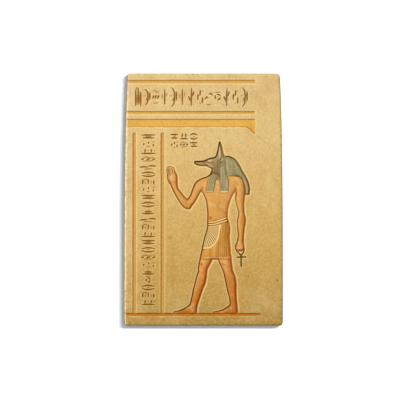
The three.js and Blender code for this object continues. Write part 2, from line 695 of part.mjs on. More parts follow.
/** The slab with the bands, the sinking, the figure that stands in it, and every sign. */
function carvedPlaque() {
  const pockets = bodyForms.map((form) => limbPocket(form, SINKING));
  const bodies = bodyForms.map(limb);
  let plaque = slabBlank().subtract(joined([...ruledBands(), ...pockets])).add(joined(bodies));
  laidOver.forEach((form) => {
    plaque = plaque.subtract(limbPocket(form, LAYER_SINKING)).add(limb(form));
  });
  const apronOutline = smoothOutline(apron, APRON_POINTS);
  const apronBed = prism(new THREE.Shape(apronOutline), face - APRON_BED, face + OVERSHOOT);
  plaque = plaque.subtract(apronBed).add(pillow(apronOutline, apronTop, APRON_ROUNDING));
  beltCords.forEach((cord) => {
    plaque = plaque.add(limb(slender(cord, SINKING)));
  });
  const lines = [...dressCuts(), ...bodyCuts(), ...loopedCross()];
  return plaque.subtract(joined([...lines, ...signRow(), ...signColumn(), ...caption(), nick()]));
}

/** A three.js geometry from a finished solid. */
function geometryOf(body) {
  const mesh = body.getMesh();
  const geometry = new THREE.BufferGeometry();
  const places = new Float32Array(mesh.vertProperties);
  geometry.setAttribute('position', new THREE.BufferAttribute(places, 3));
  geometry.setIndex(new THREE.BufferAttribute(new Uint32Array(mesh.triVerts), 1));
  geometry.computeVertexNormals();
  return geometry;
}

const castStone = new THREE.MeshStandardMaterial({
  color: 0xd9b676,
  roughness: 0.85,
  metalness: 0,
});

const group = new THREE.Group();
const plaque = new THREE.Mesh(geometryOf(carvedPlaque()), castStone);
plaque.name = 'relief_plaque';
plaque.rotation.x = Math.PI / 2;
group.add(plaque);

export default group;
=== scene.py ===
import math

import bpy
import numpy as np
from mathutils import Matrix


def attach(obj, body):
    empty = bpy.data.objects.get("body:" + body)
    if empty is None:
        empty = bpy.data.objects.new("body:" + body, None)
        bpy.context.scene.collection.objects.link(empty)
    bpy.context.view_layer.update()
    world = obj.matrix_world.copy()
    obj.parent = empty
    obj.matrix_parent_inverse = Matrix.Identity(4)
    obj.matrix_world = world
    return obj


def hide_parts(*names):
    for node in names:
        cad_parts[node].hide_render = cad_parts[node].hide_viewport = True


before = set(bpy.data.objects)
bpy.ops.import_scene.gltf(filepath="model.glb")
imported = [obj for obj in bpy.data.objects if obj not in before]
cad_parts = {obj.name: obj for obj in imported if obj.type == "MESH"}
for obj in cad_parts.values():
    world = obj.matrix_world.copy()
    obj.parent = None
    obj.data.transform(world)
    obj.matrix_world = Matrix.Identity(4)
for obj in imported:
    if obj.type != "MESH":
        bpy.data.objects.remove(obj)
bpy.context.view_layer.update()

# The slab is one casting of crushed stone and binder, poured over a rubber mould that lies face
# up. So its face is a little uneven and soft at the edges, and its back is flat. Sizes are in
# millimetres until the mesh is made; x runs to the right, z up, and heights out of the back.
MM = 0.001
SLAB_HEIGHT = 254.0
SLAB_WIDTH = 160.0
SLAB_THICKNESS = 16.0
TOP_LEFT_LEAN = 3.4
TOP_RIGHT_LEAN = 2.8
SIDE_BULGE = 0.5
SIDE_STEPS = 40
CORNER_STEPS = 12
TOP_LEFT_CORNER = 2.0
TOP_RIGHT_CORNER = 5.0
BOTTOM_CORNER = 3.5
EDGE_ROUNDING = 1.9
EDGE_WEAR = 0.15
EDGE_NICKS = 0.05
UNEVENNESS = 0.22
GRIT = 0.03
FINE_GRIT = 0.02
LEFT, RIGHT = -SLAB_WIDTH / 2, SLAB_WIDTH / 2
TOP, BOTTOM = SLAB_HEIGHT / 2, -SLAB_HEIGHT / 2
FACE = SLAB_THICKNESS
FAR = 8.0

# Marks on the face: how far over and up each lies, how wide it is and how deep
MARKS = [
    (-10.5, 126.9, 1.3, 0.9),
    (8.7, -88.0, 1.5, 0.18),
    (45.4, -77.4, 0.9, 0.35),
    (15.7, 61.5, 0.9, 0.22),
    (6.6, -120.3, 1.0, 0.18),
    (74.6, -81.5, 1.2, 0.45),
    (-33.6, -38.7, 1.8, 0.16),
    (62.0, 20.0, 0.8, 0.12),
    (66.0, 96.0, 0.8, 0.12),
]

# A mark this deep is as dark with wash as any
FULL_MARK = 0.45

# A fine scratch that runs off from the end of the cornice
SCRATCH = [(52.9, 65.0), (60.0, 59.4), (68.0, 55.4)]
SCRATCH_WIDTH = 0.6
SCRATCH_DEPTH = 0.12

# Stains left by the wash: over, up, half width, half height, and strength
STAINS = [
    (46.0, -80.0, 7.0, 12.0, 0.6),
    (-31.0, -66.0, 3.0, 26.0, 0.45),
    (-33.6, -38.7, 2.6, 1.6, 0.6),
    (67.0, 116.0, 9.0, 8.0, 0.35),
    (58.0, 10.0, 5.0, 30.0, 0.25),
    (-20.0, 30.0, 12.0, 8.0, 0.2),
    (14.0, -60.0, 6.0, 14.0, 0.2),
    (-50.0, -121.0, 24.0, 5.0, 0.2),
    (48.0, 70.0, 6.0, 8.0, 0.45),
    (-72.0, 77.0, 8.0, 4.0, 0.35),
]

# The lumps of the cast face come from a square of random numbers, repeated over it
RANDOM_SIDE = 64
RANDOM_START = 500.0


def uneven(x, z, lump, seed):
    """A smooth random height between -1 and 1, with lumps of about the given size."""
    tile = np.random.default_rng(seed).uniform(-1, 1, (RANDOM_SIDE, RANDOM_SIDE))
    over, up = x / lump + RANDOM_START, z / lump + RANDOM_START
    column, row = np.floor(over).astype(int), np.floor(up).astype(int)
    across, along = over - column, up - row
    across, along = across**2 * (3 - 2 * across), along**2 * (3 - 2 * along)
    here, beyond = column % RANDOM_SIDE, (column + 1) % RANDOM_SIDE
    low, high = (
        tile[level % RANDOM_SIDE, here] * (1 - across) + tile[level % RANDOM_SIDE, beyond] * across
        for level in (row, row + 1)
    )
    return low * (1 - along) + high * along


def bell(value, reach):
    """A soft hump, 1 where a value is 0 and nearly 0 past twice its reach."""
    return np.exp(-((value / reach) ** 2))


def outside(x, z, outline):
    """How far outside a closed outline each point lies, below zero inside it."""
    nearest = np.full(x.shape, np.inf)
    within = np.zeros(x.shape, bool)
    for (x0, z0), (x1, z1) in zip(outline, np.roll(outline, -1, axis=0)):
        dx, dz = x1 - x0, z1 - z0
        length = dx * dx + dz * dz
        if length == 0:
            continue
        share = np.clip(((x - x0) * dx + (z - z0) * dz) / length, 0, 1)
        nearest = np.minimum(nearest, (x - x0 - share * dx) ** 2 + (z - z0 - share * dz) ** 2)
        if dz != 0:
            spans = (z0 > z) != (z1 > z)
            within ^= spans & (x < x0 + (z - z0) * dx / dz)
    return np.where(within, -1, 1) * np.sqrt(nearest)


def bow(start, pull, end, count):
    """Points of a plain curve from a start to an end, drawn towards a third place."""
    t = np.linspace(0, 1, count)[:, None]
    return (1 - t) ** 2 * np.array(start) + 2 * t * (1 - t) * np.array(pull) + t**2 * np.array(end)


def slab_side(side, lean, top_corner):
    """One side of the slab from its foot to its top, with both its corners."""
    foot, head = side * RIGHT, side * (RIGHT - lean)
    low, high = BOTTOM + BOTTOM_CORNER, TOP - top_corner
    return np.vstack([
        bow((foot - side * BOTTOM_CORNER, BOTTOM), (foot, BOTTOM), (foot, low), CORNER_STEPS),
        bow((foot, low), (foot + side * SIDE_BULGE, TOP / 2), (head, high), SIDE_STEPS),
        bow((head, high), (head, TOP), (head - side * top_corner, TOP), CORNER_STEPS),
    ])


left_side = slab_side(-1, TOP_LEFT_LEAN, TOP_LEFT_CORNER)
right_side = slab_side(1, TOP_RIGHT_LEAN, TOP_RIGHT_CORNER)
slab_outline = np.vstack([right_side, left_side[::-1]])


def bare_face(x, z):
    """The height of the slab's bare face, how far in each point lies, and how deep in a mark."""
    inward = np.minimum(
        np.minimum(x - np.interp(z, left_side[:, 1], left_side[:, 0]), TOP - z),
        np.minimum(np.interp(z, right_side[:, 1], right_side[:, 0]) - x, z - BOTTOM),
    )
    by_edge = inward < FAR
    inward = np.full(x.shape, FAR)
    inward[by_edge] = -outside(x[by_edge], z[by_edge], slab_outline)
    inward = np.clip(inward, 0, FAR)

    # The edge is rounded, more in some places than in others, and the face lies in low waves
    wear = 1 + EDGE_WEAR * uneven(x, z, lump=7, seed=1)
    rounding = EDGE_ROUNDING * (wear + EDGE_NICKS * uneven(x, z, lump=2.2, seed=2))
    fall = np.clip(1 - inward / rounding, 0, 1)
    height = FACE - rounding * (1 - np.sqrt(1 - fall**2))
    waves = 0.35 + 0.25 * uneven(x, z, lump=34, seed=3) + 0.1 * uneven(x, z, lump=9, seed=4)
    height -= UNEVENNESS * waves
    grit = GRIT * (1 + uneven(x, z, lump=2.6, seed=5))
    height -= grit + FINE_GRIT * (1 + uneven(x, z, lump=1.2, seed=6))

    # Each mark is a small hollow with a ragged edge
    ragged_edge = 1.6 + 0.8 * uneven(x, z, lump=1.1, seed=7)
    pitted = np.zeros(x.shape)
    for over, up, wide, deep in MARKS:
        gap = np.hypot(x - over, z - up) / wide
        hollow = np.exp(-(gap**2) * ragged_edge)
        height -= deep * hollow
        pitted = np.maximum(pitted, hollow * min(1, deep / FULL_MARK))
    return height, inward, pitted


def stained(x, z):
    """How much brown wash stays on the plain face, as soft stains."""
    amount = np.zeros(x.shape)
    cloudy = 1 + 0.35 * uneven(x, z, lump=6, seed=8)
    for over, up, wide, tall, strength in STAINS:
        reach = ((x - over) / wide) ** 2 + ((z - up) / tall) ** 2
        amount += strength * np.exp(-reach) * cloudy
    return np.clip(amount, 0, 1)


# The ruled bands are cut across the top of the design, the cornice under them ends in a hook, and
# two upright grooves frame the sign column. The ground line runs under the figure's feet. All are
# gouged about a millimetre deep, with worn lips.
BAND_END_MARGIN = 27.9
TOP_BAND_DROP = 6.6
TOP_BAND_WIDTH = 3.2
SECOND_BAND_DROP = 37.9
SECOND_BAND_WIDTH = 3.0
CORNICE_DROP = 45.9
CORNICE_WIDTH = 8.0
CORNICE_HOOK_DROP = 7.4
CORNICE_HOOK_WIDTH = 9.0
BAND_DEPTH = 1.1
BAND_PAST_EDGE = 2.0
LIP_WEAR = 0.16
LIP_REACH = 0.6
POOL_REACH = 0.75
LEFT_GROOVE_INSET = 8.7
RIGHT_GROOVE_INSET = 37.1
GROOVE_WIDTH = 3.3
GROOVE_TOP_GAP = 6.0
GROUND_RISE = 9.8
GROUND_WIDTH = 2.9
GROUND_END_MARGIN = 22.3
band_end = RIGHT - BAND_END_MARGIN
cornice_top = TOP - CORNICE_DROP
cornice_bottom = cornice_top - CORNICE_WIDTH
ground_bottom = BOTTOM + GROUND_RISE
ground_top = ground_bottom + GROUND_WIDTH
left_groove = LEFT + LEFT_GROOVE_INSET
right_groove = LEFT + RIGHT_GROOVE_INSET
groove_top = cornice_bottom - GROOVE_TOP_GAP
past_edge = LEFT - BAND_PAST_EDGE
cornice_outline = np.array([
    (past_edge, cornice_top),
    (past_edge, cornice_bottom),
    (band_end - CORNICE_HOOK_WIDTH, cornice_bottom),
    (band_end - 0.6 * CORNICE_HOOK_WIDTH, cornice_bottom - 0.3 * CORNICE_HOOK_DROP),
    (band_end, cornice_bottom - CORNICE_HOOK_DROP),
    (band_end, cornice_top),
])
band_boxes = [
    (past_edge, TOP - drop - width, band_end, TOP - drop)
    for drop, width in ((TOP_BAND_DROP, TOP_BAND_WIDTH), (SECOND_BAND_DROP, SECOND_BAND_WIDTH))
]
groove_boxes = [
    (left, ground_bottom, left + GROOVE_WIDTH, groove_top) for left in (left_groove, right_groove)
]
ground_box = (past_edge, ground_bottom, RIGHT - GROUND_END_MARGIN, ground_top)

# How wide the sloping wall of each kind of rule is
RULE_WALLS = {"bands": 1.2, "cornice": 0.9, "grooves": 1.3, "ground": 1.0}


def outside_box(x, z, x0, z0, x1, z1):
    """How far outside an upright box each point lies, below zero inside it."""
    across = np.abs(x - (x0 + x1) / 2) - (x1 - x0) / 2
    up = np.abs(z - (z0 + z1) / 2) - (z1 - z0) / 2
    return np.maximum(across, up)


def from_line(x, z, line):
    """How far each point lies from an open line, and at what share of its length."""
    nearest = np.full(x.shape, np.inf)
    place = np.zeros(x.shape)
    for i, ((x0, z0), (x1, z1)) in enumerate(zip(line[:-1], line[1:])):
        dx, dz = x1 - x0, z1 - z0
        share = np.clip(((x - x0) * dx + (z - z0) * dz) / (dx * dx + dz * dz), 0, 1)
        gap = np.hypot(x - x0 - share * dx, z - z0 - share * dz)
        closer = gap < nearest
        nearest[closer] = gap[closer]
        place[closer] = (i + share[closer]) / (len(line) - 1)
    return nearest, place


def ruled(x, z):
    """How deep the rules are cut at each point, how far outside each kind of them it lies, and
    how dark the wash lies along the lower edge of the cornice."""
    wander = 0.12 * uneven(x, z, lump=11, seed=11) + 0.1 * uneven(x, z, lump=3, seed=12)
    bands, grooves = (
        np.minimum(*(outside_box(x, z, *box) for box in boxes))
        for boxes in (band_boxes, groove_boxes)
    )
    gaps = {
        "bands": bands + wander,
        "cornice": outside(x, z, cornice_outline) + wander,
        "grooves": grooves + wander,
        "ground": outside_box(x, z, *ground_box) + wander,
    }
    depth = np.zeros(x.shape)
    for name, gap in gaps.items():
        cut = BAND_DEPTH * np.clip(-gap / RULE_WALLS[name], 0, 1) ** 0.7
        lip = LIP_WEAR * bell(np.clip(gap, 0, None), LIP_REACH)
        depth = np.maximum(depth, np.where(gap < 0, cut + LIP_WEAR, lip))
    away, _ = from_line(x, z, cornice_outline[1:5])
    pooled = bell(away, POOL_REACH) * (gaps["cornice"] < 0.2)
    return depth, gaps, pooled


# The signs are rows of small gouged strokes between the bands, between the grooves and beside the
# figure's head. Each is a few plain marks, cut with one pass of a narrow gouge.
SIGN_DEPTH = 0.8
SIGN_LINE = 1.15
SIGN_GAP = 2.4
STROKE_END = 0.55
STROKE_SWELL = 0.8
STROKE_STEPS = 7
LINE_STEPS = 9
STROKE_REACH = 2.5
ROW_SIGN_PITCH = 8.9
ROW_START_INSET = 10.0
ROW_EDGE_GAP = 4.6
ROW_STAGGER = 3.0
COLUMN_SIGN_PITCH = 7.6
COLUMN_EDGE_GAP = 5.5
CAPTION_SIGN_WIDTH = 8.0
CAPTION_SIGN_HEIGHT = 6.5
CAPTION_SPACING = 1.8
CAPTION_GAP = 5.5


def spline(points, count):
    """Points along a smooth curve through a few places, spread evenly between them."""
    points = np.array(points, float)
    reach = np.linspace(0, len(points) - 1, count)
    first = np.minimum(reach.astype(int), len(points) - 2)
    share = (reach - first)[:, None]
    before, start, end, after = (
        points[np.clip(first + k, 0, len(points) - 1)] for k in (-1, 0, 1, 2)
    )
    leave, arrive = (end - before) / 2, (after - start) / 2
    curve = (2 * start - 2 * end + leave + arrive) * share**3
    return curve + (3 * end - 3 * start - 2 * leave - arrive) * share**2 + leave * share + start


def arc(radius, turn_from, turn_to, x=0.0, z=0.0):
    """Three places on an arc in a unit box, from one turn in degrees to another."""
    turns = np.radians([turn_from, (turn_from + turn_to) / 2, turn_to])
    return [(x + radius * math.cos(turn), z + radius * math.sin(turn)) for turn in turns]


# Each sign is a few plain strokes in a box that runs from -0.5 to 0.5 both ways
SIGNS = {
    "bars": [[(-0.4, -0.5), (-0.38, 0.4)], [(0, -0.4), (0.02, 0.5)], [(0.4, -0.5), (0.4, 0.3)]],
    "ring": [arc(0.42, 20, 110), arc(0.42, 140, 230), arc(0.42, 260, 350)],
    "dashes": [[(-0.5, -0.1), (-0.3, 0.1)], [(-0.12, -0.1), (0.1, 0.1)], [(0.3, -0.1), (0.5, 0.1)]],
    "crook": [[(-0.35, 0.5), (0.1, 0.3), (0.1, -0.3), (-0.3, -0.5)], [(0.45, 0.3), (0.45, -0.2)]],
    "staff": [[(0, -0.5), (0, 0.5)]],
    "twig": [[(0, -0.5), (0.06, 0.5)], [(0.2, 0.05), (0.45, 0.3)], [(-0.16, -0.2), (-0.42, 0.05)]],
    "bows": [arc(0.62, 40, 140, 0, -0.2), arc(0.62, 220, 320, 0, 0.2)],
    "ticks": [[(-0.35, -0.2), (-0.3, 0.2)], [(0, 0.1), (0.05, 0.45)], [(0.35, -0.4), (0.38, 0)]],
    "slats": [[(-0.5, 0.3), (0.5, 0.3)], [(-0.4, -0.25), (0.45, -0.25)]],
    "posts": [
        [(-0.5, -0.35), (0.5, -0.35)], [(-0.25, -0.1), (-0.2, 0.5)], [(0.2, -0.1), (0.25, 0.45)],
    ],
    "ripples": [arc(0.5, 60, 130, -0.3, -0.5), arc(0.5, 50, 120, 0.25, -0.3)],
    "mound": [[(-0.25, 0.1), (0.25, 0.12)], [(-0.45, -0.3), (0.45, -0.3)]],
}

# Finer scratches that go with the signs, in the same box
FINE_LINE = 0.75
FINE_DEPTH = 0.4
FINE_MARKS = {
    "bars": [
        [(-0.2, -0.45), (-0.2, 0.15)], [(0.2, -0.4), (0.22, 0.2)], arc(0.3, 20, 160, -0.2, 0.2),
    ],
    "ring": [
        [(-0.06, 0), (0.06, 0.02)], [(-0.5, 0.75), (-0.1, 0.68), (0.4, 0.8)],
        [(-0.1, -0.85), (0.1, -0.85)],
    ],
    "dashes": [
        [(-0.5, 0.28), (-0.15, 0.36), (0.15, 0.24), (0.5, 0.32)], [(-0.4, -0.34), (0.4, -0.3)],
    ],
    "crook": [[(-0.5, 0.05), (-0.25, 0.1)], [(-0.05, -0.02), (-0.1, -0.25)]],
    "staff": [
        [(-0.4, 0.2), (-0.36, -0.1)], [(0.34, 0.28), (0.3, 0.05)], [(-0.12, -0.42), (0.12, -0.42)],
    ],
    "twig": [
        [(-0.5, -0.42), (-0.42, -0.42)], [(-0.28, -0.43), (-0.2, -0.43)],
        [(0.24, -0.42), (0.32, -0.42)],
    ],
    "bows": [[(-0.1, 0), (0.1, 0.02)]],
    "ticks": [[(-0.1, -0.42), (0.12, -0.4)], [(0.3, 0.35), (0.45, 0.42)]],
    "slats": [[(-0.2, 0.02), (0.25, 0.04)]],
    "posts": [[(-0.02, 0.1), (0, 0.3)], [(0.42, 0.1), (0.46, 0.3)]],
    "ripples": [[(-0.35, -0.42), (0.3, -0.4)]],
    "mound": [[(0, 0.3), (0.04, 0.5)]],
}
ROW_ORDER = [
    "bars", "crook", "dashes", "staff", "crook", "staff", "twig", "ticks", "ripples", "ring",
    "twig", "ticks", "crook",
]
COLUMN_ORDER = [
    "slats", "ticks", "posts", "dashes", "ripples", "bows", "bars", "ticks", "slats", "bows",
    "mound", "ripples", "bars", "posts", "slats", "bows", "dashes", "ticks", "mound", "ring",
    "bows", "bars", "posts",
]
CAPTION_ORDER = [["slats", "posts", "bows"], ["ticks", "dashes", "slats"]]


def sign(name, x, z, width, height):
    """The strokes of one sign in a box on the face, and its finer marks; the ring stays round."""
    if name == "ring":
        width = height = min(width, height)
    return [
        [
            spline([(x + a * width, z + b * height) for a, b in stroke], STROKE_STEPS)
            for stroke in kind[name]
        ]
        for kind in (SIGNS, FINE_MARKS)
    ]


def all_signs():
    """The strokes of every sign: the row, the column and the few beside the head."""
    signs = []
    roof = TOP - TOP_BAND_DROP - TOP_BAND_WIDTH - ROW_EDGE_GAP
    foot = TOP - SECOND_BAND_DROP + ROW_EDGE_GAP
    start = LEFT + ROW_START_INSET
    for i in range(int((band_end - start) / ROW_SIGN_PITCH)):
        name = ROW_ORDER[i % len(ROW_ORDER)]
        height = roof - foot - (i % 2) * ROW_STAGGER
        x = start + (i + 0.5) * ROW_SIGN_PITCH
        signs.append(sign(name, x, (roof + foot) / 2, ROW_SIGN_PITCH - SIGN_GAP, height))
    near_edge = left_groove + GROOVE_WIDTH + COLUMN_EDGE_GAP
    far_edge = right_groove - COLUMN_EDGE_GAP
    for i in range(int((groove_top - ground_top) / COLUMN_SIGN_PITCH)):
        name = COLUMN_ORDER[i % len(COLUMN_ORDER)]
        z = groove_top - (i + 0.5) * COLUMN_SIGN_PITCH
        middle = (near_edge + far_edge) / 2
        signs.append(sign(name, middle, z, far_edge - near_edge, COLUMN_SIGN_PITCH - SIGN_GAP))
    start = right_groove + GROOVE_WIDTH + CAPTION_GAP
    roof = cornice_bottom - CAPTION_GAP
    for j, row in enumerate(CAPTION_ORDER):
        for i, name in enumerate(row):
            x = start + (i + 0.5) * (CAPTION_SIGN_WIDTH + CAPTION_SPACING)
            z = roof - (j + 0.5) * (CAPTION_SIGN_HEIGHT + CAPTION_SPACING)
            signs.append(sign(name, x, z, CAPTION_SIGN_WIDTH, CAPTION_SIGN_HEIGHT))
    return signs


def near_to(x, z, points, margin):
    """The points of the face within a margin of the box around some places."""
    low = np.min(points, axis=0) - margin
    high = np.max(points, axis=0) + margin
    return np.flatnonzero((x > low[0]) & (x < high[0]) & (z > low[1]) & (z < high[1]))


def gouged(x, z, strokes, end=STROKE_END, swell=STROKE_SWELL):
    """The depth of strokes with narrow ends and full middles, and how far outside them points lie.

    Each stroke is a line, its width and its depth; its ends have the share end of the width.
    """
    cut = np.zeros(x.shape)
    gap = np.full(x.shape, STROKE_REACH)
    for line, width, depth in strokes:
        near = near_to(x, z, line, STROKE_REACH)
        if not len(near):
            continue
        away, share = from_line(x[near], z[near], line)
        full = end + swell * np.sin(np.pi * share)
        half = width * full / 2
        cut[near] = np.maximum(cut[near], depth * full * np.clip(1 - away / half, 0, 1) ** 0.8)
        gap[near] = np.minimum(gap[near], away - half)
    return cut, gap


signs = all_signs()
scratch_strokes = [(spline(SCRATCH, LINE_STEPS), SCRATCH_WIDTH, SCRATCH_DEPTH)]
sign_strokes = [(line, SIGN_LINE, SIGN_DEPTH) for strokes, marks in signs for line in strokes]
fine_strokes = [(line, FINE_LINE, FINE_DEPTH) for strokes, marks in signs for line in marks]

# The figure is in sunk relief: its outline is cut straight down into the face, and the body
# rises again inside it, rounded, to just under the face. Its forms are drawn in hundredths of its
# height, up from the ground line and over from the middle of its stride.
HEAD_ROOM = 15.2
HAND_GAP = 3.3
HAND_REACH = 28.5
SINKING = 2.4
FACE_CLEARANCE = 0.35
WALL_START = 0.2
WALL_END = 1.05
FIGURE_LIP_WEAR = 0.2
FIGURE_LIP_REACH = 0.9
FORM_STEPS = 30
unit = (cornice_bottom - ground_top - HEAD_ROOM) / 100
stride_x = right_groove + GROOVE_WIDTH + HAND_GAP + HAND_REACH * unit
body_floor = FACE - SINKING
body_top = FACE - FACE_CLEARANCE


def on_figure(places):
    """Places on the face from places on the figure."""
    places = np.array(places, float)
    return np.column_stack([stride_x + places[:, 0] * unit, ground_top + places[:, 1] * unit])


def ribbon(left_points, right_points):
    """A form between two smooth edges, each given by a few places."""
    return spline(left_points, FORM_STEPS + 1), spline(right_points, FORM_STEPS + 1)


def upright(rows):
    """An upright form from rows of (up, left edge, right edge), the lowest row first."""
    lefts = on_figure([(left, up) for up, left, right in rows])
    return ribbon(lefts, on_figure([(right, up) for up, left, right in rows]))


def level(rows):
    """A form that lies level, from rows of (over, lower edge, upper edge), from left to right."""
    uppers = on_figure([(over, upper) for over, lower, upper in rows])
    return ribbon(uppers, on_figure([(over, lower) for over, lower, upper in rows]))


def slanting(rows):
    """A limb from rows of (over, up, half width) along its middle."""
    middles = on_figure([(over, up) for over, up, half in rows])
    halves = np.array([half for over, up, half in rows]) * unit
    heading = np.gradient(middles, axis=0)
    heading /= np.linalg.norm(heading, axis=1)[:, None]
    across = np.column_stack([heading[:, 1], -heading[:, 0]]) * halves[:, None]
    return ribbon(middles - across, middles + across)


# Bare body
torso = upright([
    (50.9, -5.0, 7.6), (54.4, -5.0, 6.9), (58.5, -4.9, 6.7), (62.6, -5.3, 7.4), (66.1, -5.9, 8.5),
    (69.0, -7.0, 9.8), (71.9, -8.5, 11.7), (76.0, -9.6, 14.6), (79.4, -5.8, 13.2),
    (82.4, -1.4, 9.6),
])
lowered_arm = upright([
    (41.5, 12.6, 16.0), (46.2, 12.9, 16.3), (49.7, 12.5, 16.7), (54.4, 12.5, 17.4),
    (58.5, 13.2, 16.5), (63.2, 12.0, 16.3), (66.7, 11.4, 16.7), (71.1, 11.7, 17.0),
    (75.0, 11.1, 16.8), (78.4, 10.5, 15.8), (80.2, 10.2, 14.2),
])
fist = upright([
    (36.2, 12.6, 15.8), (37.4, 11.4, 16.6), (39.2, 11.3, 16.4), (40.9, 12.0, 16.1),
    (43.3, 12.9, 15.9),
])
raised_upper_arm = slanting([
    (-3.0, 76.2, 3.0), (-6.2, 76.1, 3.2), (-9.3, 74.6, 3.1), (-11.3, 71.9, 2.5), (-12.7, 68.7, 2.2),
    (-14.3, 65.8, 2.2), (-16.3, 63.3, 2.3), (-15.9, 60.9, 1.0),
])
raised_forearm = slanting([
    (-15.4, 64.2, 2.0), (-16.9, 63.4, 2.5), (-18.6, 64.9, 2.3), (-20.5, 67.4, 2.0),
    (-22.3, 70.1, 1.8), (-23.8, 72.7, 1.6), (-24.6, 75.6, 2.0), (-25.0, 78.4, 2.4),
    (-25.3, 80.6, 2.3), (-25.9, 82.0, 1.9),
])
thumb = slanting([(-26.0, 76.0, 0.9), (-27.3, 78.1, 0.8), (-27.8, 79.7, 0.6), (-28.1, 80.6, 0.3)])
fingers = [
    slanting([(-26.8, 80.2, 0.7), (-27.8, 82.3, 0.6), (-28.4, 83.7, 0.4)]),
    slanting([(-26.3, 80.8, 0.8), (-27.2, 83.2, 0.6), (-27.8, 85.2, 0.4)]),
    slanting([(-25.7, 81.0, 0.8), (-26.2, 83.4, 0.65), (-26.5, 85.5, 0.45)]),
    slanting([(-24.8, 80.6, 0.8), (-24.9, 83.0, 0.65), (-25.1, 84.8, 0.4)]),
]
front_leg = upright([
    (-0.9, -15.6, -11.2), (2.9, -15.8, -11.1), (5.8, -15.1, -10.4), (9.4, -14.3, -9.2),
    (13.5, -13.4, -7.8), (17.5, -12.4, -6.2), (21.1, -11.5, -5.5), (24.0, -10.5, -5.3),
    (26.3, -10.4, -4.7), (29.8, -9.9, -2.8), (33.9, -8.9, -1.2),
])
back_leg = upright([
    (-0.9, 7.6, 12.8), (2.9, 7.4, 12.6), (5.3, 8.1, 12.3), (8.8, 7.8, 12.0), (12.9, 6.7, 11.9),
    (17.0, 5.8, 11.9), (21.1, 5.0, 11.3), (24.0, 4.3, 10.1), (26.3, 3.4, 9.6), (29.8, 1.8, 9.1),
    (33.9, 0.6, 8.8),
])
front_foot = level([
    (-24.8, -0.8, 0.8), (-23.4, -0.9, 1.1), (-21.1, -0.9, 1.6), (-18.7, -0.9, 2.7),
    (-16.4, -0.9, 4.1), (-14.2, -0.9, 5.3), (-12.4, -0.9, 3.6),
])
back_foot = level([
    (-1.7, -0.8, 0.7), (0.6, -0.9, 1.1), (2.9, -0.9, 1.6), (5.3, -0.9, 2.8), (7.6, -0.9, 4.2),
    (9.8, -0.9, 5.3), (11.6, -0.9, 3.6),
])

# Head: the long muzzle, one pointed ear, and the neck that shows between the wig's lappets
jackal_head = level([
    (-12.5, 87.7, 88.5), (-11.4, 86.9, 88.7), (-9.4, 86.2, 88.7), (-7.0, 86.1, 89.0),
    (-5.3, 85.9, 89.7), (-3.5, 85.1, 90.4), (-1.8, 84.4, 90.8), (0.3, 83.7, 91.2),
    (2.9, 83.3, 91.2),
])
ear = upright([
    (88.9, -0.3, 3.8), (90.9, -0.3, 4.7), (93.0, 0.5, 4.4), (95.3, 1.1, 3.7), (97.7, 1.5, 3.1),
    (99.9, 2.0, 2.4),
])
neck = upright([
    (77.6, 1.2, 2.4), (79.5, -3.0, 3.4), (81.5, -3.0, 3.5), (83.5, -2.3, 3.5), (85.4, -2.3, 3.5),
])

# Wig: the hair over the crown and down the back, and the two lappets that fall on the chest
back_hair = ribbon(
    on_figure([
        (17.3, 69.4), (17.1, 72.8), (16.3, 75.7), (14.9, 78.6), (12.4, 80.0), (9.8, 80.3),
        (7.0, 80.3), (4.6, 80.9), (2.3, 81.3),
    ]),
    on_figure([
        (19.4, 69.4), (19.5, 73.1), (18.7, 76.6), (17.2, 79.8), (15.2, 83.1), (13.3, 86.8),
        (10.6, 90.2), (6.6, 91.7), (3.1, 90.7),
    ]),
)
far_lappet = upright([
    (70.7, -5.8, -1.5), (73.7, -5.3, -0.9), (76.0, -4.9, -0.4), (78.7, -4.2, 0.3),
    (80.7, -3.2, 1.8),
])
near_lappet = upright([
    (70.3, 2.5, 7.0), (74.9, 2.5, 7.4), (78.4, 2.3, 7.3), (81.3, 2.3, 6.2), (84.8, 2.3, 5.6),
    (88.0, 2.5, 5.2), (90.4, 3.0, 4.7), (91.4, 3.6, 4.2),
])

# Dress: a knee-length kilt, its two-cord belt, and a pleated apron that falls at the front
kilt = upright([
    (31.3, -9.5, 8.9), (35.1, -8.7, 8.5), (39.2, -7.9, 8.2), (43.9, -6.8, 7.8), (47.4, -5.7, 8.1),
    (50.9, -5.0, 8.0), (54.4, -5.0, 7.0),
])
belt_line = on_figure([(-4.9, 52.9), (-1.6, 53.1), (0.7, 53.6), (3.4, 54.6), (6.2, 55.7)])
belt_cords = [
    slanting([
        (-4.9, 52.9, 0.4), (-1.6, 53.1, 0.4), (0.7, 53.6, 0.45), (3.4, 54.6, 0.45),
        (6.2, 55.7, 0.4),
    ]),
    slanting([
        (-4.9, 51.6, 0.4), (-1.4, 51.8, 0.4), (0.9, 52.3, 0.45), (3.8, 53.3, 0.45),
        (6.8, 54.2, 0.4),
    ]),
]
apron_outline = spline(
    on_figure([
        (-4.9, 50.8), (-1.0, 51.2), (2.9, 51.6), (2.5, 48.0), (2.0, 45.0), (1.1, 42.0),
        (-0.6, 39.8), (-2.6, 38.1), (-5.3, 37.4), (-8.1, 37.6), (-7.4, 40.6), (-6.6, 44.2),
        (-5.5, 47.8), (-4.9, 50.8),
    ]),
    60,
)


def edges(form):
    """The closed outline of a form."""
    return np.vstack([form[0], form[1][::-1]])


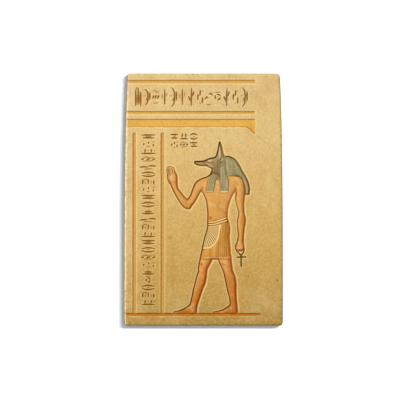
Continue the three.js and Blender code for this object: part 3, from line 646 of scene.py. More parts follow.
def laid_on(x, z, form):
    """For the points on a form: its share across and along it, and half its width there."""
    lefts, rights = form
    across, along, half = (np.full(x.shape, -1.0) for _ in range(3))
    for i in range(len(lefts) - 1):
        corners = np.array([lefts[i], rights[i], lefts[i + 1], rights[i + 1]])
        near = near_to(x, z, corners, 0.01)
        if not len(near):
            continue
        px, pz = x[near], z[near]
        away = []
        for left, right in ((lefts[i], rights[i]), (lefts[i + 1], rights[i + 1])):
            line = right - left
            above = line[0] * (pz - left[1]) - line[1] * (px - left[0])
            away.append(above / np.linalg.norm(line))
        share = np.clip(away[0] / np.maximum(away[0] - away[1], 1e-6), 0, 1)[:, None]
        left = lefts[i] + (lefts[i + 1] - lefts[i]) * share
        line = rights[i] + (rights[i + 1] - rights[i]) * share - left
        width = np.linalg.norm(line, axis=1)
        over = ((px - left[:, 0]) * line[:, 0] + (pz - left[:, 1]) * line[:, 1]) / width**2
        on = (away[0] >= 0) & (away[1] <= 0) & (over >= 0) & (over <= 1)
        across[near[on]] = over[on]
        along[near[on]] = (i + share[on, 0]) / (len(lefts) - 1)
        half[near[on]] = width[on] / 2
    return across, along, half


# A form is rounded over its half width, within limits, and its half width isn't known beside it
NARROWEST_HALF = 0.6
BROADEST_HALF = 9.0
HALF_BESIDE = 0.8
FILLET = 0.35
CORNER_FILLET = 1.2


def rounded(gap, half):
    """How full a rounded form stands, from 0 at its edge to 1, from the distance outside it."""
    half = np.where(half > 0, half, HALF_BESIDE)
    reach = np.clip(-gap / np.clip(half, NARROWEST_HALF, BROADEST_HALF), 0, 1)
    return (1 - (1 - reach) ** 3) ** 0.6


def blended(high, other):
    """The higher of two surfaces, with a soft fillet between them."""
    near = np.clip(1 - np.abs(high - other) / FILLET, 0, 1)
    return np.maximum(high, other) + FILLET * near**2 / 4


def merged(gap, other):
    """The distance outside two forms that run together, with the corner between them filled."""
    near = np.clip(1 - np.abs(gap - other) / CORNER_FILLET, 0, 1)
    return np.minimum(gap, other) - CORNER_FILLET * near**2 / 4


# Each form of the body, how full it stands, and how dark the painted shade is on its side away
# from the light
skin_forms = [
    (torso, 1.0, 0.1), (lowered_arm, 0.98, 0.5), (fist, 0.95, 0.3), (raised_upper_arm, 1.0, 0.5),
    (raised_forearm, 0.95, 0.4), (thumb, 0.7, 0.2), *[(finger, 0.8, 0.3) for finger in fingers],
    (front_leg, 1.0, 0.95), (back_leg, 1.0, 1.0), (front_foot, 0.85, 0.5), (back_foot, 0.85, 0.5),
]
head_forms = [(neck, 0.6, 0.2), (jackal_head, 0.97, 0.2), (ear, 0.75, 0.5)]

# Soft modelling of the body: over, up, half width, half height, turn in degrees, and rise
SWELLS = [
    (-3.2, 74.2, 3.4, 2.2, -12, 0.22),
    (9.6, 73.6, 3.6, 2.4, 10, 0.18),
    (-1.6, 64.0, 2.2, 5.0, 0, 0.14),
    (2.6, 60.0, 0.7, 7.0, 0, -0.16),
    (-3.4, 55.8, 0.6, 0.5, 0, -0.35),
    (0.6, 56.4, 3.8, 2.4, 0, 0.16),
    (-16.6, 63.2, 1.6, 1.0, -40, 0.15),
    (-12.6, 71.4, 1.2, 3.0, 24, 0.12),
    (14.6, 72.0, 1.5, 3.6, 0, 0.14),
    (14.2, 58.6, 1.6, 0.9, 0, -0.12),
    (14.6, 52.0, 1.3, 4.0, 0, 0.1),
    (-8.4, 27.6, 1.3, 1.0, -20, 0.26),
    (-8.8, 25.8, 1.6, 0.5, -12, -0.24),
    (5.4, 27.8, 1.3, 1.0, 20, 0.26),
    (5.6, 25.9, 1.6, 0.5, 12, -0.24),
    (-7.4, 18.0, 0.9, 4.6, -18, 0.2),
    (-9.6, 13.0, 0.5, 6.0, -20, -0.14),
    (10.2, 17.0, 1.0, 4.8, -4, 0.2),
    (8.6, 12.0, 0.5, 6.0, -4, -0.14),
    (-13.4, 3.6, 0.8, 0.7, 0, 0.22),
    (10.6, 3.8, 0.8, 0.7, 0, 0.22),
    (-16.6, 2.6, 1.6, 0.7, -25, 0.15),
    (7.4, 2.6, 1.6, 0.7, -25, 0.15),
]

# Lines cut into the body: places, width, depth, and how dark the wash lies in them
DRAWN = [
    ([(-9.4, 31.3), (0, 31.4), (8.9, 31.3)], 0.9, 0.5, 0.65),
    (
        [(-12.6, 88.2), (-9.4, 88.5), (-7.0, 88.8), (-5.4, 89.6), (-3.9, 90.2), (-1.0, 90.7)],
        1.5, 0.3, 1.0,
    ),
    ([(-7.6, 88.0), (-6.4, 87.9), (-5.4, 87.7)], 1.3, 0.2, 0.45),
    ([(-5.2, 88.2), (-3.6, 87.6), (-1.8, 87.9)], 1.2, 0.3, 0.8),
    ([(-12.2, 87.3), (-10.6, 86.6), (-8.0, 86.4), (-5.4, 86.4)], 0.9, 0.45, 0.7),
    ([(-4.8, 85.4), (-2.3, 84.7), (-0.6, 83.7), (2.0, 83.4)], 1.0, 0.4, 0.85),
    ([(-1.6, 88.6), (-1.2, 87.0), (-0.2, 85.4)], 0.8, 0.2, 0.45),
    ([(1.5, 90.0), (1.0, 87.0), (1.3, 84.0)], 1.1, 0.25, 0.6),
    ([(-1.0, 91.0), (0.5, 92.6), (1.2, 95.2), (1.7, 97.6), (2.2, 99.4)], 0.9, 0.2, 0.6),
    ([(4.1, 91.6), (3.5, 94.6), (3.1, 97.0), (2.5, 99.3)], 0.9, 0.2, 0.5),
    ([(2.2, 98.2), (2.2, 99.6)], 1.3, 0.3, 0.9),
    ([(2.3, 89.2), (2.9, 90.2), (3.1, 91.0)], 0.9, 0.4, 0.85),
    ([(-2.0, 83.4), (-2.6, 81.6), (-3.6, 79.6)], 0.9, 0.3, 0.8),
    ([(6.6, 79.9), (8.8, 80.3), (11.1, 80.2), (13.0, 79.8), (14.9, 78.5)], 1.3, 0.4, 0.85),
    ([(5.6, 89.0), (5.5, 85.0), (5.6, 80.6)], 0.8, 0.35, 0.7),
    ([(14.9, 78.4), (16.4, 75.6), (17.0, 72.6), (17.2, 69.6)], 0.8, 0.3, 0.7),
    ([(-27.9, 84.6), (-27.5, 82.8), (-26.9, 81.0)], 0.9, 0.35, 0.8),
    ([(-28.3, 83.2), (-27.5, 81.8), (-26.3, 80.2)], 0.9, 0.35, 0.8),
    ([(-26.9, 84.4), (-26.3, 82.4), (-25.7, 80.6)], 0.7, 0.3, 0.4),
    ([(-25.6, 84.2), (-25.4, 82.6), (-25.2, 80.8)], 0.8, 0.3, 0.45),
    ([(-28.1, 80.6), (-27.4, 78.2), (-26.5, 75.8)], 0.8, 0.3, 0.6),
    ([(12.2, 41.4), (12.4, 40.0), (12.2, 38.2)], 0.6, 0.25, 0.55),
    ([(12.0, 37.2), (13.6, 36.7), (15.2, 36.7), (16.4, 37.4)], 0.8, 0.35, 0.6),
    ([(13.2, 40.6), (13.5, 39.2), (13.4, 38.0)], 0.5, 0.2, 0.35),
    ([(-8.5, 29.2), (-8.5, 28.5), (-8.7, 27.7)], 1.8, 0.15, 0.95),
    ([(-24.6, 1.1), (-22.0, 1.3), (-19.0, 2.3), (-16.4, 4.0)], 0.8, 0.2, 0.5),
    ([(-1.4, 1.0), (1.4, 1.2), (4.4, 2.1), (7.2, 3.9)], 0.8, 0.2, 0.5),
    ([(-17.4, 1.9), (-16.2, 2.0), (-15.4, 2.4)], 0.8, 0.2, 0.5),
    ([(1.6, 53.3), (4.0, 54.2), (6.4, 55.0)], 0.8, 0.3, 0.5),
    ([(6.6, 52.8), (7.3, 53.5)], 0.9, 0.3, 0.7),
    ([(9.9, 74.9), (10.3, 74.8)], 0.8, 0.2, 0.6),
    ([(12.9, 75.2), (13.3, 75.1)], 0.7, 0.2, 0.5),
    ([(-3.6, 56.1), (-3.4, 55.2)], 2.2, 0.12, 0.6),
]

# Broad soft shade in the hollows: places, width and strength
SHADED = [
    ([(-12.0, 4.4), (-11.8, 2.6), (-11.6, 1.0)], 3.2, 0.55),
    ([(-7.0, 26.0), (-6.4, 21.0), (-7.4, 16.0), (-9.6, 10.0), (-11.2, 6.0)], 2.6, 0.55),
    ([(9.2, 25.0), (10.6, 20.0), (11.0, 14.0), (11.4, 7.0), (11.8, 2.0)], 3.0, 0.65),
    ([(7.6, 23.0), (9.0, 15.0), (9.8, 8.0), (10.0, 4.0)], 5.0, 0.45),
    ([(3.4, 29.2), (4.4, 28.4), (5.8, 28.6)], 2.4, 0.8),
    ([(-1.8, 82.2), (0.6, 81.4), (2.6, 80.2)], 4.2, 1.0),
    ([(4.6, 26.0), (6.2, 20.0), (7.8, 12.0)], 1.6, 0.25),
    ([(7.4, 50.0), (7.2, 44.0), (8.0, 38.0), (8.6, 33.0)], 2.4, 0.5),
    ([(2.0, 66.0), (1.4, 61.0), (1.8, 56.5)], 2.4, 0.3),
    ([(-3.7, 56.4), (-3.3, 55.0)], 3.2, 0.9),
    ([(1.6, 61.2), (3.8, 59.4), (6.2, 57.8)], 5.0, 0.45),
    ([(-12.0, 74.0), (-8.0, 77.6), (-4.0, 78.6)], 1.6, 0.3),
    ([(-15.2, 62.6), (-13.4, 64.6)], 2.4, 0.35),
    ([(14.9, 68.0), (15.0, 62.0), (15.6, 54.0), (15.2, 46.0)], 2.0, 0.4),
    ([(-2.0, 79.6), (0.6, 78.4), (1.8, 76.6)], 2.0, 0.5),
    ([(9.0, 84.0), (12.0, 81.6), (14.0, 79.8)], 2.4, 0.45),
]

# Painted highlights on the figure: places, width, rise and strength
PALE = [
    ([(-11.9, 87.8), (-9.0, 87.2), (-6.2, 86.9)], 1.0, 0.1, 0.5),
    ([(-5.2, 89.3), (-4.2, 89.9), (-2.9, 89.8)], 0.8, 0.1, 0.45),
    ([(-4.6, 88.8), (-3.7, 89.2), (-2.6, 88.9)], 1.2, 0.15, 0.8),
    ([(-6.0, 87.6), (-4.2, 87.4), (-2.6, 86.9)], 1.3, 0.1, 0.55),
    ([(-4.4, 86.5), (-3.0, 85.9), (-1.6, 85.2)], 1.2, 0.1, 0.7),
    ([(2.0, 97.0), (2.1, 94.2), (2.2, 91.6), (1.6, 89.8)], 1.3, 0.15, 0.7),
    ([(4.1, 91.0), (3.6, 89.6), (2.4, 88.8)], 0.8, 0.2, 0.9),
    ([(-28.1, 81.7), (-27.4, 80.4), (-26.6, 78.8)], 1.0, -0.3, 0.9),
    ([(-26.6, 83.2), (-26.2, 80.4), (-25.6, 77.6)], 3.2, 0.0, 0.25),
    ([(-26.5, 84.9), (-26.0, 83.4), (-25.4, 82.0)], 0.8, 0.1, 0.4),
    ([(3.3, 88.0), (3.2, 82.0), (3.4, 76.0)], 0.7, 0.1, 0.35),
    ([(4.7, 86.0), (4.7, 80.0), (4.8, 73.0)], 0.7, 0.1, 0.3),
    ([(7.0, 86.4), (7.0, 83.6), (7.2, 81.6)], 1.1, 0.1, 0.35),
    ([(6.2, 79.0), (6.2, 76.0), (6.4, 73.0)], 0.8, 0.1, 0.4),
    ([(-3.8, 56.8), (-4.0, 55.4)], 1.4, 0.1, 0.35),
    ([(-9.0, 32.3), (0, 32.4), (8.6, 32.3)], 0.8, 0.1, 0.3),
    ([(-4.8, 64.0), (-2.8, 63.4), (-0.8, 63.2)], 3.6, 0.0, 0.32),
    ([(-17.6, 2.9), (-16.4, 3.3)], 1.6, 0.1, 0.3),
    ([(8.0, 2.8), (9.2, 3.3)], 1.4, 0.1, 0.25),
    ([(12.4, 42.4), (12.8, 40.0)], 1.6, 0.1, 0.4),
    ([(13.3, 55.0), (13.4, 50.6)], 1.0, 0.1, 0.4),
    ([(-9.8, 26.4), (-11.0, 20.0), (-12.6, 13.0)], 1.2, 0.1, 0.3),
]

# Where the sinking is shallow and its line faint: over, up, half width, half height, and share
SHALLOW = [
    (-26.8, 84.0, 3.6, 3.2, 0.6),
    (-27.8, 80.0, 1.6, 3.0, 0.35),
    (-24.4, 1.0, 3.2, 2.0, 0.4),
    (-1.2, 1.0, 3.2, 2.0, 0.4),
    (-7.5, 85.4, 4.6, 1.3, 0.35),
    (5.0, 94.2, 1.5, 4.4, 0.4),
    (12.4, 57.0, 1.6, 15.0, 0.4),
    (0.0, 66.0, 18.0, 16.0, 0.1),
]

# The looped cross that hangs from the lowered fist: places, width and depth of its strokes
CROSS_STROKES = [
    ([(11.9, 36.6), (13.2, 35.1), (14.7, 33.7)], 1.3, 0.8),
    ([(16.6, 37.4), (16.1, 35.6), (14.7, 33.7)], 1.3, 0.8),
    ([(12.3, 32.6), (14.8, 32.7), (17.4, 32.8)], 1.4, 0.8),
    ([(14.7, 33.9), (14.7, 30.0), (14.8, 27.2)], 1.6, 0.8),
]
cross_strokes = [
    (spline(on_figure(places), LINE_STEPS), width, depth)
    for places, width, depth in CROSS_STROKES
]

# How far inside its outline each form stands, so that the cut line lies on the outline, in mm,
# and the most that it may be as a share of the form's half width
DRAWN_IN = {"skin": 0.6, "head": 0.35}
MOST_DRAWN_IN = 0.15
SWELL_MARGIN = 0.5

# The strands of the wig fan out from a place above the crown. The tail is bare of paint on its
# inner side, up to a soft end at a share of the hair's length.
STRAND_APEX = (5.9, 108.8)
STRAND_TURN = 1.75
STRAND_INSET = 0.3
STRAND_CUT = 0.34
STRAND_DARK = 0.36
TAIL_BARE = 0.42
TAIL_BARE_END = (0.3, 0.42)

# Each lappet, the share of its length that is a pale strip at its end, and the tone of its hair.
# The groove beside it fades at the neck.
LAPPETS = ((far_lappet, 0.045, 0), (near_lappet, 0.028, 0.5))
LAPPET_STRANDS = 4
LAPPET_STRAND_INSET = 0.2
LAPPET_STRAND_DARK = 0.35
STRIP_SOFTNESS = 0.02
STRIP_EDGE = 0.8
NECK_LEVELS = (78.5, 81.5)
NECK_FADE = 0.75

# The kilt's pleats hang straight, fainter on its left and none at its hem. The apron's folds fan
# out from a corner above it to the left, over a weave of crossed threads, inside a plain rim.
KILT_PLEATS = 15
KILT_RISE = 0.12
PLEAT_CUT = 0.3
PLEAT_DARK = 0.4
FAINT_PLEATS = 0.35
FAINT_PLEATS_END = (0.42, 0.6)
PLAIN_HEM = (0.02, 0.09)
FOLD_CORNER = (-8.8, 53.2)
FIRST_FOLD_TURN = -50.7
FOLD_TURN = 5.3
FOLD_CUT = 0.5
WEAVE_START = (FIRST_FOLD_TURN + 1, FIRST_FOLD_TURN + 4)
WEAVE_PITCH = 1.7
WEAVE_SHARE = 0.75
APRON_EDGE_WIDTH = 1.1
APRON_EDGE_FALL = 0.5
RIM_WIDTH = 1.5
RIM_SOFTNESS = 0.4
rim_line = spline(
    on_figure([
        (2.9, 51.6), (2.5, 48.0), (2.0, 45.0), (1.1, 42.0), (-0.6, 39.8), (-2.6, 38.1),
        (-5.3, 37.4), (-8.1, 37.6),
    ]),
    30,
)

# The groove beside each thing that lies on the body: its middle, its reach, its depth, how dark
# the wash lies in it, and half the width of the soft edge between it and the thing
GROOVES_BESIDE = {
    "apron": (0.2, 0.55, 0.35, 0.4, 0.35),
    "cord": (0.25, 0.5, 0.3, 0.55, 0.25),
    "lappet": (0.15, 0.5, 0.4, 0.6, 0.3),
}

# The rounded crown of each cord and lappet: the height of its foot, its rise and its half width
CROWNS = {"cord": (FACE - 0.9, 0.85, 0.75), "lappet": (body_top - 0.45, 0.6, 1.4)}

# The painted shade on a thing's side away from the light: how dark, and from what share across it
SHADED_SIDES = {"body": (1, 0.35), "hair": (0.5, 0.75), "kilt": (0.2, 0.7), "lappet": (0.3, 0.6)}
SHADE_CUT = 0.12
# How much a painted highlight clears the dark lines under it
HIGHLIGHT_CLEARS_LINES = 0.8


def eased(value, low, high):
    """Rises softly from 0 to 1 while a value goes from low to high."""
    share = np.clip((value - low) / (high - low), 0, 1)
    return share**2 * (3 - 2 * share)


def between(value):
    """How low a row of rounded strands lies, 0 on each crown and 1 midway to the next."""
    return np.cos(np.pi * value) ** 2


def side_shade(kind, across):
    """How dark the painted shade lies on a thing's side away from the light."""
    strength, start = SHADED_SIDES[kind]
    return strength * eased(across, start, 1)


def crowned(kind, gap):
    """The height of a cord or a lappet, from the distance outside it."""
    foot, rise, half = CROWNS[kind]
    return foot + rise * rounded(gap, half)


def sinking(x, z):
    """The height of the floor that the figure rises from, and how faint its outline is drawn."""
    faint = np.zeros(x.shape)
    for over, up, wide, tall, share in SHALLOW:
        place = on_figure([(over, up)])[0]
        reach = ((x - place[0]) / unit / wide) ** 2 + ((z - place[1]) / unit / tall) ** 2
        faint = np.maximum(faint, share * np.exp(-(reach**2)))
    return body_floor + faint * (body_top - body_floor), faint


def figure(x, z, floor):
    """The figure's surface inside its sinking, and the paint that each point of it takes."""
    paints = ("figure", "head", "wig", "kilt", "cream", "skin")
    gaps = {name: np.full(x.shape, FAR) for name in paints}
    line, pale, shade, tone = (np.zeros(x.shape) for _ in range(4))
    high = floor.copy()

    def form_gap(form):
        """The points near a form, and how far outside it they lie."""
        outline = edges(form)
        near = near_to(x, z, outline, FAR)
        return near, outside(x[near], z[near], outline)

    def raise_form(form, fullness, dusk, name):
        """Adds one rounded form of the body, and notes which paint it wears."""
        near, gap = form_gap(form)
        across, _, half = laid_on(x[near], z[near], form)
        gap = gap + min(DRAWN_IN[name], MOST_DRAWN_IN * half.max())
        rise = (body_top - floor[near]) * fullness * rounded(gap, half)
        high[near] = blended(high[near], floor[near] + np.where(gap < 0, rise, -FAR))
        gaps["figure"][near] = merged(gaps["figure"][near], gap)
        gaps[name][near] = merged(gaps[name][near], gap)
        # Painted shade on the form's side away from the light
        turned = np.where((gap < 0) & (across > 0), side_shade("body", across), 0)
        shade[near] = np.maximum(shade[near], dusk * turned)

    def lay(kind, near, gap, cloth, drawn, fading=1):
        """Lays cloth or hair over the body, with its folds drawn and a groove beside it, and
        says how far each point lies on it, 1 well inside its soft edge."""
        middle, reach, cut, dark, soft = GROOVES_BESIDE[kind]
        beside = bell(gap - middle, reach) * fading
        over = eased(-gap, -soft, soft)
        high[near] = cloth * over + (high[near] - cut * beside) * (1 - over)
        line[near] = np.maximum(line[near] * (1 - over), np.maximum(drawn * over, dark * beside))
        return over

    def wear_cream(near, gap):
        """Notes that what lies on the body there is painted cream."""
        gaps["cream"][near] = np.minimum(gaps["cream"][near], gap)

    # Body and head
    for form, fullness, dusk in skin_forms:
        raise_form(form, fullness, dusk, "skin")
    for over, up, wide, tall, turn, rise in SWELLS:
        place = on_figure([(over, up)])[0]
        cos, sin = math.cos(math.radians(turn)), math.sin(math.radians(turn))
        dx, dz = (x - place[0]) / unit, (z - place[1]) / unit
        reach = ((dx * cos + dz * sin) / wide) ** 2 + ((dz * cos - dx * sin) / tall) ** 2
        high += rise * np.exp(-reach) * (gaps["skin"] < -SWELL_MARGIN)
    for form, fullness, dusk in head_forms:
        raise_form(form, fullness, dusk, "head")

    # Hair over the crown and down the back
    raise_form(back_hair, 0.97, 0, "head")
    near, gap = form_gap(back_hair)
    across, along, half = laid_on(x[near], z[near], back_hair)
    # Painted shade on the hair's side away from the light
    shade[near] = np.where(gap < 0, side_shade("hair", across), shade[near])
    bare = (TAIL_BARE - across) * 2 * half - FAR * eased(along, *TAIL_BARE_END)
    gaps["wig"][near] = np.where((gap < 0) & (across > 0), np.maximum(gap, bare), gap)
    gaps["head"][near] = np.where(gap < 0, FAR, gaps["head"][near])
    tone[near] = np.where(gap < 0.5, 1, tone[near])
    apex = on_figure([STRAND_APEX])[0]
    turn = np.degrees(np.arctan2(x[near] - apex[0], apex[1] - z[near]))
    dip = between(turn / STRAND_TURN) * (gap < -STRAND_INSET)
    dip = dip * (0.7 + 0.5 * uneven(x[near], z[near], lump=4, seed=31))
    high[near] -= STRAND_CUT * dip
    line[near] = np.maximum(line[near], STRAND_DARK * dip)

    # Kilt, cut off at the belt
    near, gap = form_gap(kilt)
    waist = np.interp(x[near], belt_line[:, 0], belt_line[:, 1])
    gap = np.maximum(gap + DRAWN_IN["skin"], z[near] - waist)
    across, along, half = laid_on(x[near], z[near], kilt)
    cloth = floor[near] + (body_top + KILT_RISE - floor[near]) * rounded(gap, half)
    pleated = FAINT_PLEATS + (1 - FAINT_PLEATS) * eased(across, *FAINT_PLEATS_END)
    pleated = pleated * eased(along, *PLAIN_HEM)
    pleated = pleated * (0.75 + 0.6 * uneven(30 * across, 0 * across, lump=2, seed=32))
    dip = between(KILT_PLEATS * across) * pleated * (gap < -STRAND_INSET)
    high[near] = np.where(gap < 0, np.maximum(high[near], cloth - PLEAT_CUT * dip), high[near])
    line[near] = np.where(gap < 0, PLEAT_DARK * dip, line[near])
    gaps["kilt"][near] = gap
    gaps["figure"][near] = np.minimum(gaps["figure"][near], gap)
    # Painted shade on the kilt's side away from the light
    shade[near] = np.where(gap < 0, side_shade("kilt", across), shade[near])

    # Apron over the kilt
    near = near_to(x, z, apron_outline, FAR)
    gap = outside(x[near], z[near], apron_outline)
    corner = on_figure([FOLD_CORNER])[0]
    dx, dz = x[near] - corner[0], z[near] - corner[1]
    turn = np.degrees(np.arctan2(dz, dx))
    from_rim, _ = from_line(x[near], z[near], rim_line)
    ribbed = eased(from_rim, RIM_WIDTH - RIM_SOFTNESS, RIM_WIDTH + RIM_SOFTNESS)
    woven = eased(turn, *WEAVE_START)
    dip = between((turn - FIRST_FOLD_TURN) / FOLD_TURN) * ribbed * (1 - woven)
    weave = np.maximum(between((dx + dz) / WEAVE_PITCH), between((dx - dz) / WEAVE_PITCH))
    dip = np.maximum(dip, WEAVE_SHARE * weave**1.3 * ribbed * woven)
    edge = np.clip(1 + gap / APRON_EDGE_WIDTH, 0, 1)
    cloth = FACE - FACE_CLEARANCE / 2 - APRON_EDGE_FALL * edge**2 - FOLD_CUT * dip
    shade[near] *= 1 - lay("apron", near, gap, cloth, dip)
    wear_cream(near, gap)

    # Belt
    middle, reach, cut, dark, soft = GROOVES_BESIDE["cord"]
    for cord in belt_cords:
        near, gap = form_gap(cord)
        beside = bell(gap - middle, reach)
        over = eased(-gap, -soft, soft)
        high[near] = np.maximum(high[near] - cut * beside, crowned("cord", gap) * over)
        line[near] = np.maximum(line[near] * (1 - over), dark * beside)
        shade[near] *= 1 - over
        wear_cream(near, gap)

    # Lappets over the chest, with a shallower groove beside them at the neck
    for lappet, strip, hue in LAPPETS:
        near, gap = form_gap(lappet)
        across, along, _ = laid_on(x[near], z[near], lappet)
        end = np.where(along < 0, 0, 1 - eased(along, strip, strip + STRIP_SOFTNESS))
        dip = between(LAPPET_STRANDS * across) * (gap < -LAPPET_STRAND_INSET) * (1 - end)
        fading = 1 - NECK_FADE * eased((z[near] - ground_top) / unit, *NECK_LEVELS)
        cloth = crowned("lappet", gap) - STRAND_CUT * dip
        lay("lappet", near, gap, cloth, LAPPET_STRAND_DARK * dip, fading)
        # Painted shade on the lappet's side away from the light
        shade[near] = np.where(gap < 0, side_shade("lappet", across), shade[near])
        tone[near] = np.where(gap < 0.2, hue, tone[near])
        in_hair = np.maximum(gap, (end - 0.5) * STRIP_EDGE)
        gaps["wig"][near] = np.minimum(gaps["wig"][near], in_hair)
        wear_cream(near, np.maximum(gap, (0.5 - end) * STRIP_EDGE))

    # Painted shade in the hollows, painted highlights and cut lines
    on_body = gaps["figure"] < 0.2

    def along_path(places, width):
        """The points near a drawn line, and how close they lie to it, from 0 to 1."""
        path = spline(on_figure(places), LINE_STEPS)
        near = near_to(x, z, path, width + 1.0)
        away, share = from_line(x[near], z[near], path)
        half = width * (STROKE_END + STROKE_SWELL * np.sin(np.pi * share)) / 2
        return near, bell(away, half) * on_body[near]

    for places, width, strength in SHADED:
        near, close = along_path(places, width)
        high[near] -= SHADE_CUT * strength * close
        shade[near] = np.maximum(shade[near], strength * close)
    for places, width, rise, strength in PALE:
        near, close = along_path(places, width)
        high[near] += rise * close
        pale[near] = np.maximum(pale[near], strength * close)
        line[near] *= 1 - HIGHLIGHT_CLEARS_LINES * close
    for places, width, depth, dark in DRAWN:
        near, close = along_path(places, width)
        high[near] -= depth * close
        line[near] = np.maximum(line[near], dark * close)
    return high, gaps, line, pale, shade, tone


# The casting. A fine sheet is bent to the slab's outline and pressed to the height of the carving,
# its flat fields are thinned, and its rim is drawn back and closed with a flat back.
SHEET_PITCH = 0.36
FACES_KEPT = 172000
THINNING_STEPS = 10
BACK_EDGE = 0.8
SIDE_PLANES = (13.0, 7.0, BACK_EDGE)


def relief(x, z):
    """The height of the finished face at each point, and everything that its paint follows."""
    face, inward, pitted = bare_face(x, z)
    rules_cut, rule_gaps, pooled = ruled(x, z)
    face = face - rules_cut
    signs_cut, sign_gap = gouged(x, z, sign_strokes)
    marks_cut, mark_gap = gouged(x, z, fine_strokes)
    scratch_cut, scratch_gap = gouged(x, z, scratch_strokes)
    cross_cut, cross_gap = gouged(x, z, cross_strokes, end=1.0, swell=0.0)
    floor, faint = sinking(x, z)
    high, gaps, line, pale, shade, tone = figure(x, z, floor)

    # The wall of the sinking, with its worn lip; its foot is cut straight at the ground line
    gap = gaps["figure"] + 0.1 * uneven(x, z, lump=4, seed=21)
    lip = FIGURE_LIP_WEAR * bell(np.clip(gap - WALL_END, 0, None), FIGURE_LIP_REACH)
    wall = eased(gap, WALL_START, WALL_END)
    wall = np.maximum(wall, eased(-z, -ground_top, 0.3 - ground_top))
    ground = (face - lip) * wall + floor * (1 - wall)
    inside = gaps["figure"] < 0
    height = np.where(inside, np.minimum(high, face + 0.1), ground)
    cuts = np.maximum.reduce([signs_cut, marks_cut, scratch_cut, cross_cut])
    height = height - np.where(inside, 0, cuts)
    height = height - FINE_GRIT * (1 + uneven(x, z, lump=0.9, seed=22))

    # The paint: how far each kind of it lies, and how strong each wash, painted shade and painted
    # highlight is. The slab's left edge has a painted highlight inside a dark rim of painted shade,
    # and its other edges are only darker at the rim, with dirt and painted shade.
    on_line = ground_top - z
    left_rim = eased(-x, -LEFT - 5.0, -LEFT - 3.5) * eased(z, BOTTOM + 0.5, BOTTOM + 2.5)
    outer_rim = eased(-inward, -1.3, -0.6)
    paint = {f"from_{name}": np.maximum(value, on_line) for name, value in gaps.items()}
    paint |= {f"from_{name}": value for name, value in rule_gaps.items()}
    paint |= {
        "from_sign": sign_gap,
        "from_mark": mark_gap,
        "from_cross": cross_gap,
        "from_scratch": scratch_gap,
        "drawn_line": np.maximum(line, 0.5 * pooled),
        "painted_highlight": pale,
        "turned_away": shade,
        "stain": stained(x, z),
        "pitted": pitted,
        "hair_tone": tone,
        "outlined": (1 - faint) * eased(z, ground_top - 0.2, ground_top + 1.4),
        "edge_pale": eased(-inward, -2.1, -1.3) * (1 - outer_rim) * left_rim,
        "edge_dark": np.where(left_rim > 0.5, outer_rim, 0.85 * eased(-inward, -1.1, -0.1)),
    }
    return np.minimum(height, FACE), paint


bpy.ops.object.select_all(action="DESELECT")
columns, rows = int(SLAB_WIDTH / SHEET_PITCH), int(SLAB_HEIGHT / SHEET_PITCH)
bpy.ops.mesh.primitive_grid_add(
    x_subdivisions=columns, y_subdivisions=rows, size=2, rotation=(math.pi / 2, 0, 0)
)
plaque = bpy.context.object
plaque.name = plaque.data.name = "cast_plaque"
bpy.ops.object.transform_apply(location=True, rotation=True, scale=True)


def places_of(mesh):
    """The places of a mesh's points, one row each."""
    places = np.empty(len(mesh.vertices) * 3, np.float32)
    mesh.vertices.foreach_get("co", places)
    return places.reshape(-1, 3).astype(float)


def put(mesh, places):
    """Moves a mesh's points to new places."""
    mesh.vertices.foreach_set("co", places.astype(np.float32).ravel())
    mesh.update()


sheet = places_of(plaque.data)
up = BOTTOM + (sheet[:, 2] + 1) / 2 * SLAB_HEIGHT
start = np.interp(up, left_side[:, 1], left_side[:, 0])
end = np.interp(up, right_side[:, 1], right_side[:, 0])
over = start + (sheet[:, 0] + 1) / 2 * (end - start)
height, paint = relief(over, up)
put(plaque.data, np.column_stack([over, -height, up]) * MM)

# The plain fields are thinned the most, the cuts less, and the figure the least
carved = np.minimum.reduce([gap for name, gap in paint.items() if name.startswith("from_")])
by_figure = paint["from_figure"] < 2.0
plain = np.clip(0.35 + 0.65 * eased(carved, 0.5, 4.0) - 0.35 * by_figure, 0, 1)
fields = plaque.vertex_groups.new(name="plain_fields")
for step in range(THINNING_STEPS + 1):
    chosen = np.flatnonzero(np.round(plain * THINNING_STEPS) == step)
    fields.add(chosen.tolist(), step / THINNING_STEPS, "REPLACE")
thinning = plaque.modifiers.new("thinning", "DECIMATE")
thinning.ratio = FACES_KEPT / (2 * columns * rows)
thinning.vertex_group = fields.name
bpy.ops.object.modifier_apply(modifier=thinning.name)
plaque.vertex_groups.clear()

# Thinning may move a point a hair past the slab's faces, so it is put back
thinned = places_of(plaque.data)
thinned[:, 1] = np.maximum(thinned[:, 1], -FACE * MM)
thinned[:, 2] = np.clip(thinned[:, 2], BOTTOM * MM, TOP * MM)
put(plaque.data, thinned)

# The rim is drawn back in rings to the back, turned in a little and closed
bpy.ops.object.mode_set(mode="EDIT")
bpy.ops.mesh.select_all(action="SELECT")
bpy.ops.mesh.region_to_loop()
for plane in SIDE_PLANES:
    bpy.ops.mesh.extrude_region()
    bpy.ops.transform.resize(value=(1, 0, 1), center_override=(0, -plane * MM, 0))
bpy.ops.mesh.extrude_region()
inset = ((SLAB_WIDTH - 2 * BACK_EDGE) / SLAB_WIDTH, 0, (SLAB_HEIGHT - 2 * BACK_EDGE) / SLAB_HEIGHT)
bpy.ops.transform.resize(value=inset, center_override=(0, 0, 0))
bpy.ops.mesh.edge_face_add()
bpy.ops.object.mode_set(mode="OBJECT")

